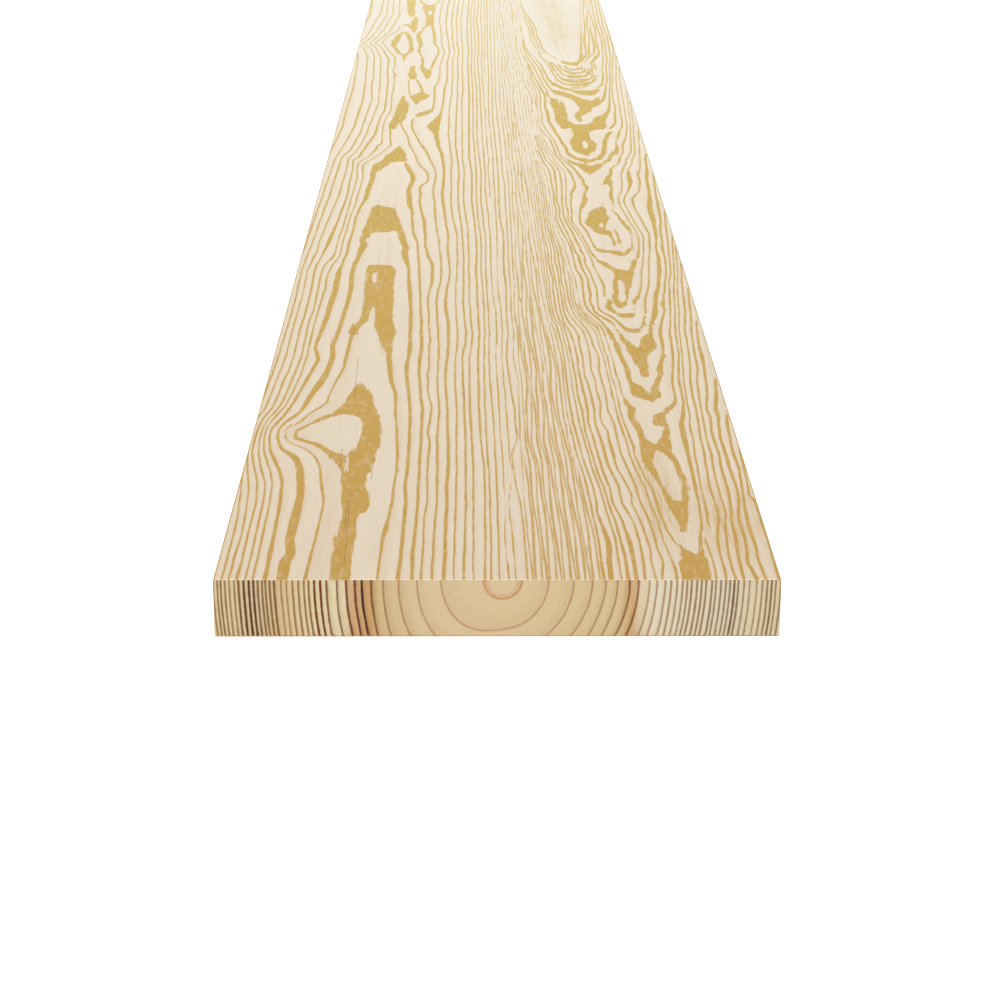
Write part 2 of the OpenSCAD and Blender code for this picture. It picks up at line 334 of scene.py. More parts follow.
        (1700, -13.7), (1829, -13, 1)]),
    (22, [(0, 0.8, 0.9), (100, 0.8), (200, 0, 0.8), (300, -1.7, 0.9), (350, -2.2, 0.8), (400, -1.5),
        (550, -3.2, 0.9), (650, -3.2), (750, -6, 1), (850, -5.6), (950, -8), (1000, -8.5), (1200, -8.8),
        (1250, -10), (1350, -11, 0.9), (1400, -10, 1), (1600, -11.8), (1829, -10)]),
    (23, [(0, 5, 0.9), (55, 3.6, 0.8), (100, 4.8), (125, 4, 1), (150, 4), (200, 3.2), (350, 1.8, 1.1),
        (400, 2.7, 1), (450, 2.3, 0.9), (475, 1.2), (550, 0.1), (650, 0, 1), (800, -3), (850, -2.5),
        (900, -3.5), (1150, -6), (1200, -6), (1350, -8.2, 1.1), (1400, -7.1, 1), (1500, -7.2, 1.4),
        (1600, -9, 1.3), (1700, -7.5, 1.2), (1829, -7, 1)]),
    (24, [(760, 0.4, 0.6), (800, 0.4, 1), (850, -0.4, 0.9), (900, 0, 1), (950, -1), (1050, -1.5, 0.9),
        (1250, -4, 1), (1300, -4), (1350, -5, 0.9), (1400, -4), (1500, -4), (1600, -5), (1829, -3.6, 1)]),
    (25, [(1225, -1.2, 0.1), (1350, -2.5, 0.8), (1400, -1.5), (1829, -1.2)]),
    (26, [(0, 7.5, 0.8), (50, 7), (100, 5.4), (150, 8.2, 0), (165, 7, 0.8), (300, 5.5, 0.9), (350, 4.5),
        (400, 5.6), (450, 5.2), (500, 3.8), (550, 3.5), (650, 4.2, 1), (900, 3), (1050, 1), (1150, 0.6),
        (1250, 1.5), (1400, 0.9), (1829, 1.6)]),
    (27, [(0, 12.6, 1), (60, 12), (100, 11, 0.9), (125, 9.5), (150, 8.4), (175, 8), (200, 11, 0.8),
        (225, 10.4, 0.9), (250, 10.5), (275, 9.4), (350, 7.3), (375, 7.8), (400, 8.8), (450, 8.2),
        (500, 8.8), (550, 7.8, 1.3), (650, 8.3, 1), (700, 6.6, 0.9), (750, 6.1), (800, 6.7),
        (850, 6.5, 1), (1100, 3.6, 0.9), (1200, 4.2), (1600, 4, 0.8), (1829, 5.4, 1)]),
    (28, [(110, 13.2, 0), (200, 12.4, 0.9), (300, 13.3, 0.6), (350, 11, 0.8), (400, 12), (450, 11),
        (500, 11.5), (550, 11, 0.9), (700, 11, 1), (750, 10.5), (800, 11, 0.9), (850, 9.6, 1), (950, 9),
        (1150, 6.6, 0.9), (1500, 7.6, 0.8), (1600, 7.2), (1829, 8.4, 1)]),
    (29, [(520, 13.6, 0.4), (550, 13.5, 1), (750, 13.6, 0.8), (950, 12.9, 1), (1150, 10, 0.9),
        (1200, 10.4), (1300, 9.8, 0.8), (1400, 11), (1600, 10.2), (1829, 11.4, 1)]),
    (43, [(0, 44.2, 1.2), (25, 43.9, 1.3), (50, 43.9, 1), (125, 41.6), (150, 40.6), (175, 38.7),
        (250, 36.1), (300, 36.3), (325, 36.8), (350, 36.6), (400, 34.8), (425, 32.8, 0.8),
        (700, 29, 0.6), (900, 27.5), (1200, 24), (1400, 21), (1829, 17)]),
    (44, [(0, 47.1, 2.4), (25, 47.3, 2.6), (40, 48, 2.8), (50, 47.8, 2.2), (87, 44.9, 1), (100, 45.1),
        (125, 44.4), (175, 41.3), (225, 39, 1.2), (275, 38.1, 1), (350, 38.3), (375, 37.8), (420, 36),
        (425, 33.9, 0.8), (700, 30.8, 0.6), (800, 30.4), (880, 29.4)]),
    (45, [(0, 51.3, 0.9), (50, 51.1), (125, 47.3), (150, 45.4), (175, 44.4), (225, 41.8),
        (250, 41.6, 0.8), (275, 40.9, 0.7), (350, 40.4, 0.6), (375, 39.8), (420, 38.3, 0.8), (428, 35.6),
        (450, 34.8), (475, 34.3), (525, 34.5), (550, 33.8), (600, 34, 0.6), (700, 32.4), (800, 32.1),
        (900, 30.8), (1000, 28.6), (1200, 27), (1400, 23.4), (1829, 19)]),
    (46, [(0, 54.2, 1.7), (25, 54.4, 1.5), (50, 53.2, 1.3), (75, 52.3, 1.2), (100, 50.4, 1), (125, 49.4),
        (137, 48.2), (150, 47.3), (200, 45), (212, 44.2), (250, 44.2, 1.2), (275, 42.9, 1), (300, 43.1),
        (375, 41.7), (420, 39.9), (428, 38), (450, 36.7), (500, 36.3), (525, 37), (550, 35.9, 1.1),
        (575, 35.4), (600, 35.9, 0.8), (650, 34), (820, 33.1, 0.6)]),
    (47, [(0, 57.5, 2.1), (25, 57.8, 2), (50, 57, 2.4), (62, 56.1, 1.2), (75, 55.6, 1.3), (100, 52.5, 1),
        (125, 52, 1.2), (150, 49.9), (200, 47.9), (212, 47.3, 1), (225, 46.3), (247, 47.1, 1.4),
        (325, 45, 1), (350, 45.4), (375, 44.7), (400, 43.2), (425, 40.4), (450, 39), (500, 38.7),
        (575, 37.3, 1.1), (600, 38, 0.8), (625, 37.3), (650, 35.9), (800, 35.4), (1000, 31, 0.6),
        (1200, 29.8), (1400, 25.8), (1829, 21)]),
    (48, [(0, 61.1, 1.2), (25, 61.6, 1.3), (50, 61.3, 1.2), (75, 60.4, 0.9), (100, 56.8, 1.2),
        (125, 56.3), (150, 53.5), (162, 52.6), (187, 52, 1.6), (225, 49.8, 1), (250, 50.4, 1.2),
        (300, 49), (312, 48, 1), (350, 48.2), (375, 47.5), (395, 47.6, 1.2), (412, 45.5, 1), (425, 43),
        (437, 41.8), (450, 41.1), (550, 40.4), (575, 39.4), (600, 40.1), (675, 37.2, 0.8), (800, 37),
        (900, 34.6, 0.6)]),
    (49, [(0, 65.6, 0.9), (25, 64.8), (35, 65.4), (75, 63.5), (100, 61.1), (112, 61.6), (125, 60.4),
        (150, 57, 1), (165, 56.3, 1.3), (177, 56.1, 1.6), (200, 55.3, 1), (212, 55.4), (225, 53.2),
        (237, 52.8), (262, 54), (287, 52.8), (300, 53.5, 0.9), (325, 51.7), (350, 52.4), (375, 52),
        (400, 50.7), (410, 49.5), (437, 44.6), (450, 43.2), (475, 42.5), (500, 42.8), (525, 41.8),
        (550, 42.3), (575, 41.8), (600, 42), (650, 39.6), (700, 38.6, 0.7), (800, 38.7), (1000, 33, 0.6),
        (1200, 32.6)]),
    (50, [(0, 67.9, 0.9), (20, 69.8, 1.4), (37, 68.5, 1), (75, 67.4, 1.4), (87, 66.3, 1), (105, 64.7),
        (125, 64, 1.2), (175, 59.8, 1), (225, 59.1), (250, 57), (275, 57.3), (325, 55.9, 1.2),
        (350, 57, 1), (375, 54.9), (400, 53.7, 1.1), (410, 52.3), (437, 47.4, 1), (450, 45.9),
        (475, 44.7), (500, 44.7), (550, 44), (575, 44.4, 1.1), (625, 43.2), (650, 41.4),
        (700, 40.3, 0.7), (760, 40)]),
    (51, [(0, 74.2, 1.5), (12, 74.4), (25, 73.5, 0.9), (50, 71.5, 0.8), (75, 71.1), (100, 69.2),
        (125, 68, 0.9), (150, 65.4), (175, 64), (200, 63.5), (206, 62.8, 1.2), (237, 61.6, 1),
        (275, 60.6), (300, 60.4, 0.8), (350, 59.4, 0.6), (375, 58.2, 0.7), (400, 57.8), (420, 53.9, 0.8),
        (432, 50.5), (450, 47.8), (475, 46.5), (525, 46.8), (625, 44.8)]),
    (52, [(37, 78.2, 1.2), (62, 74.2, 1), (87, 72.6, 1.2), (100, 72.5), (125, 71.1), (137, 69, 1),
        (175, 65.9), (187, 66.6, 1.2), (200, 65.6), (225, 64.2, 1), (250, 63.1), (287, 63.2),
        (312, 61.8), (350, 61.6), (362, 60.6), (400, 59.7), (411, 58.5, 1.2), (429, 53, 1), (440, 50.6),
        (450, 49.5), (475, 48.2, 1.1), (500, 48.5), (525, 48.2, 0.9), (550, 47.2)]),
    (53, [(405, 59.8, 1.2), (413, 59.2), (432, 54, 1.1), (455, 50.5, 0.8), (470, 49.6)]),
    (54, [(262, 67, 2.2), (275, 65.5, 0.9), (300, 65.3, 1.2), (312, 64.5, 1.6), (322, 64.2, 1.4),
        (330, 64.4, 0.9), (400, 62.1, 1), (412, 61), (420, 59.9), (443, 53.5), (450, 52), (462, 50.8),
        (525, 50.2), (537, 49.6), (550, 48.2, 1.2), (575, 47.8, 1), (600, 46.8, 1.1), (625, 46.5, 1),
        (650, 44), (662, 43.2), (700, 41.7, 0.8), (725, 42), (825, 40.6), (850, 39.8, 1), (875, 38.1),
        (890, 37.8), (912, 36.2), (940, 35)]),
    (55, [(400, 66.2, 1.9), (412, 63.7, 2.1), (428, 61.2, 1.7), (435, 59.3, 2), (450, 55.5, 1.6),
        (462, 54.2, 1.5), (475, 53.7, 1.4), (500, 54.2), (525, 54.2, 1.5), (537, 53.6, 1.6),
        (550, 51.9, 1.3), (600, 50.7, 1.2), (625, 49.6), (650, 47), (690, 43.8), (700, 43.4),
        (715, 44.2), (730, 44.4), (750, 43.5), (775, 44.1), (850, 43.2), (862, 42.6), (885, 40),
        (925, 37.2), (1000, 35, 0.7)]),
    (56, [(410, 68.9, 2), (420, 68, 1.6), (430, 65.1, 3.2), (443, 59.8, 1.8), (450, 58.6, 1.3),
        (462, 58.1, 1.6), (470, 56.8), (490, 58.3), (512, 57.7, 1.8), (525, 57.9, 1.3), (550, 55.9, 1.5),
        (575, 54.6, 2), (590, 54.3, 1.7), (600, 53, 1.4), (650, 50, 1.2), (700, 45.8), (730, 46.9),
        (750, 45.6), (800, 46.6, 1.3), (850, 46.9, 1.6), (862, 46.5, 1.4), (875, 45.4, 1.2),
        (895, 41.6, 1.1), (925, 40), (950, 37.9), (975, 36.6, 0.8), (1000, 36, 0.7)]),
    (57, [(410, 74.5, 3), (430, 69.6, 1.9), (437, 67.7, 2.6), (450, 62.2, 1.8), (460, 61.2, 1.2),
        (500, 62.3, 1.1), (550, 59.5), (570, 57.5, 1.2), (580, 58.2, 1.5), (590, 58.1, 1.3),
        (600, 56.7, 1.5), (650, 53.4, 1.4), (690, 49.3, 1.3), (712, 48.7), (725, 49.1), (750, 49),
        (800, 50.4), (850, 50.5, 1.1), (875, 48.6), (895, 44.8, 0.9), (912, 43.8), (950, 39.9),
        (1000, 37.2, 0.6)]),
    (58, [(478, 67.9, 1.2), (485, 66.1, 1.4), (500, 66.4, 1.1), (512, 66.7, 1.6), (530, 65.4, 1),
        (560, 63), (575, 62.3), (612, 59.7, 0.8), (650, 56.4, 1), (690, 51.3), (700, 51.3), (712, 52.2),
        (750, 51.6), (765, 52.6), (775, 52.3), (800, 53.5, 0.7), (850, 54.1, 0.8), (900, 47.4, 0.7),
        (950, 41.8), (1000, 38.6, 0.6)]),
    (59, [(572, 67.7, 2), (580, 65.1, 1.5), (590, 63.9, 1.9), (600, 62.2, 1.2), (612, 61.7),
        (662, 57.3, 1), (687, 53.7), (700, 53.6), (712, 54.5), (750, 55, 1.2), (762, 55.9, 1.6),
        (775, 55.9, 1.8), (787, 57.5, 2), (797, 59.4, 2.2), (812, 59.8, 1.5), (850, 58, 1.7),
        (887, 52.8, 1.2), (925, 46.8, 0.7), (950, 44), (1000, 40.5, 0.6), (1200, 38.4), (1330, 32.3)]),
    (60, [(603, 68, 2.6), (608, 66.1, 2.4), (625, 64.5, 1.1), (650, 63.1, 1.2), (662, 61.8, 1.4),
        (682, 58.9, 1.7), (700, 59.2, 1.4), (725, 60.6), (735, 62, 3.9), (745, 63.8, 4.2),
        (755, 64.8, 4.4), (775, 65, 1.9), (787, 66.9), (800, 67.9, 3), (806, 66.1, 2.4),
        (825, 65.8, 1.9), (832, 64.8, 2.6), (862, 61.5, 2.1), (887, 56.7), (893, 54.6, 1.5),
        (912, 49.9, 1.2), (962, 47.3, 1.1), (975, 47.2), (985, 45.9, 1), (1000, 42.9), (1037, 39.4),
        (1075, 39.4), (1175, 40.8, 0.9), (1200, 40.3), (1250, 37.6, 0.8), (1300, 36.6), (1330, 34.9)]),
    (61, [(890, 61.4, 3), (906, 54.3, 1.4), (912, 52.7, 1.2), (975, 49.7, 1), (1025, 44.1, 1.1),
        (1050, 42.3), (1087, 43.2), (1112, 42.3, 1.2), (1137, 43.2), (1175, 43.5, 1), (1200, 43),
        (1250, 39), (1300, 38.2), (1400, 31, 0.8), (1829, 28)]),
    (62, [(905, 62.6, 2), (912, 60.2, 2.4), (925, 58.2, 2.6), (937, 58.5, 2.8), (962, 55.8, 2.6),
        (987, 53.8, 2), (1012, 51, 2.6), (1025, 50.6, 3), (1050, 48.1, 2.2), (1100, 47.7, 2.4),
        (1112, 46.5, 1.5), (1150, 47.5, 1.6), (1175, 47.3, 1.8), (1275, 40.2, 1.2), (1325, 37.6),
        (1350, 35.1, 1), (1390, 33)]),
    (63, [(1158, 51.2, 1.6), (1175, 50, 1.7), (1200, 49.6, 1.4), (1225, 46.9), (1325, 40.9),
        (1400, 34, 1), (1829, 31)]),
    (64, [(1190, 54.8, 3.2), (1200, 53.5, 1.9), (1250, 48.8, 1.6), (1300, 46.6), (1375, 39.6, 1.3),
        (1400, 36), (1425, 34.8, 1), (1480, 34.4)]),
    (65, [(1225, 58, 4), (1237, 54.8, 2.8), (1250, 52.6, 2), (1325, 48.2, 1.4), (1375, 43.2, 1.2),
        (1400, 38.2), (1450, 35.1), (1550, 33.9, 1), (1829, 33.5)]),
    (66, [(1412, 46.2, 0.8), (1500, 41.4, 1.2), (1525, 41.8), (1550, 41.1), (1640, 36.3, 1)]),
    (67, [(1380, 57, 0.8), (1395, 53), (1425, 47.8, 1.1), (1475, 46.3), (1500, 44.3, 1.5), (1550, 44.6),
        (1650, 37.6, 1.1), (1700, 35.6), (1829, 35.7)]),
    (68, [(1350, 65.4, 1), (1400, 54, 1.3), (1425, 50.9, 1.6), (1475, 49.8, 1.4), (1487, 48.8, 2),
        (1500, 47.6, 1.3), (1550, 48.1, 1.4), (1690, 37), (1720, 36, 1), (1829, 37)]),
    (71, [(1350, 83, 1.6), (1375, 84.6, 2.2), (1600, 93, 0.8), (1740, 97, 0.6), (1829, 98)]),
    (76, [(1205, 91.5, 2.6), (1225, 96.9, 2.2), (1237, 98, 1.7), (1275, 100.1, 1.4), (1300, 100.4),
        (1375, 104.6, 1.2), (1475, 107.4, 1.5), (1550, 106.6, 1.6), (1650, 107), (1829, 109.6)]),
    (77, [(1135, 92.4, 3.4), (1175, 97, 2.8), (1187, 98.2, 1.8), (1225, 100.3, 1.4), (1250, 102.4, 1.6),
        (1325, 104.6, 1.2), (1350, 106.8), (1475, 110.2, 1.4), (1600, 110), (1829, 113)]),
    (78, [(1070, 92, 4), (1100, 96.4, 2.8), (1125, 98.6, 1.8), (1250, 104.9, 1.1), (1325, 107.8, 1.3),
        (1375, 111, 1.2), (1500, 113.7, 1.6), (1550, 112.8, 1.4), (1829, 116)]),
    (79, [(1015, 92, 3), (1025, 95.5, 3.2), (1037, 98, 2.4), (1050, 99.7, 2), (1125, 103, 1.2),
        (1150, 102.7, 1), (1200, 104.3, 0.9), (1300, 109, 1.1), (1400, 115, 1.2), (1425, 115.9),
        (1600, 116.6), (1829, 119)]),
    (80, [(978, 98.2, 1.8), (1012, 101.1, 1.4), (1025, 103.3), (1050, 105, 1.2), (1125, 106.4, 0.9),
        (1250, 110), (1400, 117.4)]),
    (81, [(855, 86.6, 2), (873, 90.4, 1.4), (880, 93.2, 1.5), (912, 96.9, 1.4), (920, 98.6, 1.2),
        (930, 99.7, 1.5), (950, 100.1, 1.7), (985, 104.2, 1.2), (1025, 107.5, 1), (1050, 108.5, 0.8),
        (1250, 113.2), (1325, 116.3, 0.9)]),
    (82, [(575, 90.1, 2), (612, 93.4, 1.2), (637, 94.5, 1), (650, 94.4, 0.9), (662, 93.9),
        (690, 91.2, 1.2), (737, 87.8, 1.1), (757, 87.7), (765, 88.2), (785, 91.2), (800, 91.9, 1),
        (812, 93.1), (837, 93.3), (850, 94.5, 1.5), (875, 97.8, 1), (885, 99.2, 1.6), (895, 99.8, 1.1),
        (930, 105.6), (1050, 111.3, 0.7), (1200, 116.3)]),
    (83, [(487, 86.7, 1.4), (525, 89.9, 1.1), (550, 91.3), (560, 92.5, 1), (600, 95.5), (637, 97.5),
        (650, 97.6, 1.1), (662, 96.4, 0.9), (712, 93, 1), (750, 91.1, 1.1), (762, 91.9), (775, 93.5),
        (785, 95.6), (797, 96.9, 2.2), (810, 98.6, 2.4), (825, 99.1, 2.8), (850, 99.2, 2),
        (862, 99.8, 1.2), (880, 103.1, 1), (900, 104.7), (920, 107.9, 1.2), (1050, 113.6, 0.7),
        (1150, 116.4)]),
    (84, [(437, 87.2, 1.6), (475, 89.2), (512, 93.5, 1.2), (575, 97.2, 1.1), (600, 99.4, 1.2),
        (650, 102, 1.4), (700, 99.2), (725, 97.3, 1.3), (752, 97.1, 1.4), (760, 97.3, 2),
        (768, 98.9, 1.8), (780, 102.2, 1.4), (787, 103.4, 1.3), (812, 105.4, 1.4), (825, 105.9, 1.6),
        (847, 105.6, 2.4), (862, 108.4, 1.2), (875, 109.2), (1025, 116.3, 0.8)]),
    (85, [(420, 89.7, 2.2), (440, 92.3, 3.6), (450, 93.4, 3.4), (462, 94.1, 2.6), (475, 95.3, 2.4),
        (487, 96.1, 3), (512, 99.2, 2.4), (550, 102.2, 2.6), (575, 103.4, 2.8), (590, 103.9, 2),
        (612, 103.9, 1.4), (625, 104.9, 1.3), (650, 106.3, 2.4), (675, 106.9, 2.2), (687, 107.2, 3.2),
        (715, 106.9, 4), (730, 107, 3.8), (740, 107.6, 4.4), (775, 109.8, 2), (825, 110.9, 2.4),
        (850, 112.6, 3), (875, 113.8, 1.6), (900, 114.3, 1.8), (925, 116.7, 1.6)]),
    (86, [(350, 91.1, 1.5), (362, 92, 1.8), (400, 92.8, 2), (412, 93.7, 1.8), (425, 95.2, 1.4),
        (437, 97.1), (450, 98.7, 1.3), (462, 98.9, 1.8), (475, 100.1, 1.3), (487, 100.6),
        (500, 102.1, 1.2), (512, 102.8), (537, 105.3, 1.3), (550, 106.2), (587, 107.8, 1.4),
        (612, 107.8, 2), (625, 108.6, 1.4), (662, 109.9, 1.6), (687, 112.1), (750, 113.5, 2),
        (775, 114.1, 1.4), (850, 117, 1.3)]),
    (87, [(262, 92.3, 1.4), (300, 92.8, 1.2), (350, 96.6, 1.4), (400, 98.1, 1.3), (425, 100.4, 1.1),
        (525, 106.4, 1.2), (537, 108.1, 1.1), (550, 109), (725, 116.6, 1.2)]),
    (88, [(37, 87.5, 2.6), (50, 87.6, 1.8), (62, 89.2, 1.4), (75, 90.2, 1.1), (100, 91), (125, 91.3, 2),
        (175, 91.7), (200, 91.6, 2.8), (212, 91.9, 3.2), (225, 92, 3), (237, 93.7, 2.6),
        (262, 95.8, 1.4), (280, 96.3), (300, 96.4, 1.2), (325, 97.8), (350, 100, 1.1), (400, 101.5, 1.3),
        (425, 102.9, 1), (450, 104.8), (500, 107.4, 1.1), (525, 109.7, 0.9), (650, 116.6, 1.1)]),
    (89, [(0, 90.6, 0.9), (25, 90.9), (37, 90.6), (58, 89.5)]),
    (89, [(60, 93.4, 0.8), (75, 93.1, 1.4), (87, 93.7, 1.5), (100, 93.9, 1), (125, 93.9, 0.8),
        (175, 95, 1.1), (200, 96, 0.9), (212, 95.9, 1.5), (225, 96.1, 1), (237, 97.3), (262, 97.6, 0.9),
        (300, 98.9, 0.8), (350, 101.6, 0.9), (400, 103.6), (450, 106.9), (500, 109.5), (550, 113.4, 0.8),
        (625, 116.9, 1)]),
    (90, [(0, 94.5, 1.2), (12, 94.8, 1.4), (25, 94.7, 1.1), (50, 95.1, 1.2), (60, 96), (75, 97.9),
        (87, 98.6, 1.4), (100, 98.6, 1.2), (125, 97.8), (150, 98.8, 1.1), (162, 98.9), (175, 99.5, 1.3),
        (200, 99.7), (250, 101.3), (275, 101.4, 1.4), (300, 102.2, 1.1), (325, 104.1), (350, 105.4),
        (375, 106.3, 1.2), (400, 106.7), (450, 110.4), (500, 112.6), (575, 116.9, 1.1)]),
    (91, [(0, 98.5, 1.3), (12, 98.1), (25, 98.1, 1.1), (50, 99), (60, 99.5), (85, 101.9, 0.9),
        (100, 102), (125, 101.6), (150, 101.9, 1), (175, 102.8, 1.1), (200, 102.6), (250, 103.9, 1),
        (300, 105.6, 1.1), (325, 107.8, 1.2), (400, 110.2, 1.1), (425, 112.2, 1.2), (500, 115.6, 1.1),
        (510, 116.6)]),
    (92, [(0, 101.9, 1.4), (25, 102), (50, 103, 1.6), (75, 103.8, 1.3), (100, 105.3), (112, 105.8, 1.5),
        (150, 105.6, 1.2), (175, 106.3, 1.3), (200, 106, 1.6), (212, 106.1, 1.3), (237, 107.3, 1.5),
        (250, 106.7, 1.4), (262, 107.5), (275, 108.9, 1.5), (300, 110.4, 1.3), (325, 111.4),
        (350, 112.2, 2.2), (375, 112.5, 1.4), (400, 113.5, 1.2), (425, 115.1, 1.4), (432, 116.3)]),
    (93, [(0, 107.2, 2), (12, 106.3, 1.8), (20, 105.4, 1.6), (37, 106.6, 1.4), (50, 107, 1.5),
        (75, 106.9), (87, 107.5), (100, 109.1, 1.3), (112, 109.9, 1.4), (125, 110), (150, 109.5, 1.6),
        (200, 109.5), (225, 110.6), (237, 111.4, 1.8), (250, 111.1, 2.2), (275, 113.6, 2),
        (312, 116.1, 1.8)]),
    (94, [(0, 110.9, 1.3), (25, 110.2, 1.2), (37, 110.6, 1.4), (75, 110.4, 1.5), (100, 111.4, 1.2),
        (150, 113.8, 1.5), (175, 113.2, 1.8), (187, 113.5, 1.6), (200, 114.3, 1.4), (225, 114.7),
        (247, 116.4, 1.8)]),
    (95, [(0, 116.4, 1.4), (50, 116.8, 1.6), (75, 116.8, 1.8), (100, 116.8, 1.4), (112, 114.7, 1),
        (125, 115.4, 0.8), (187, 116.9, 1.4)]),
]

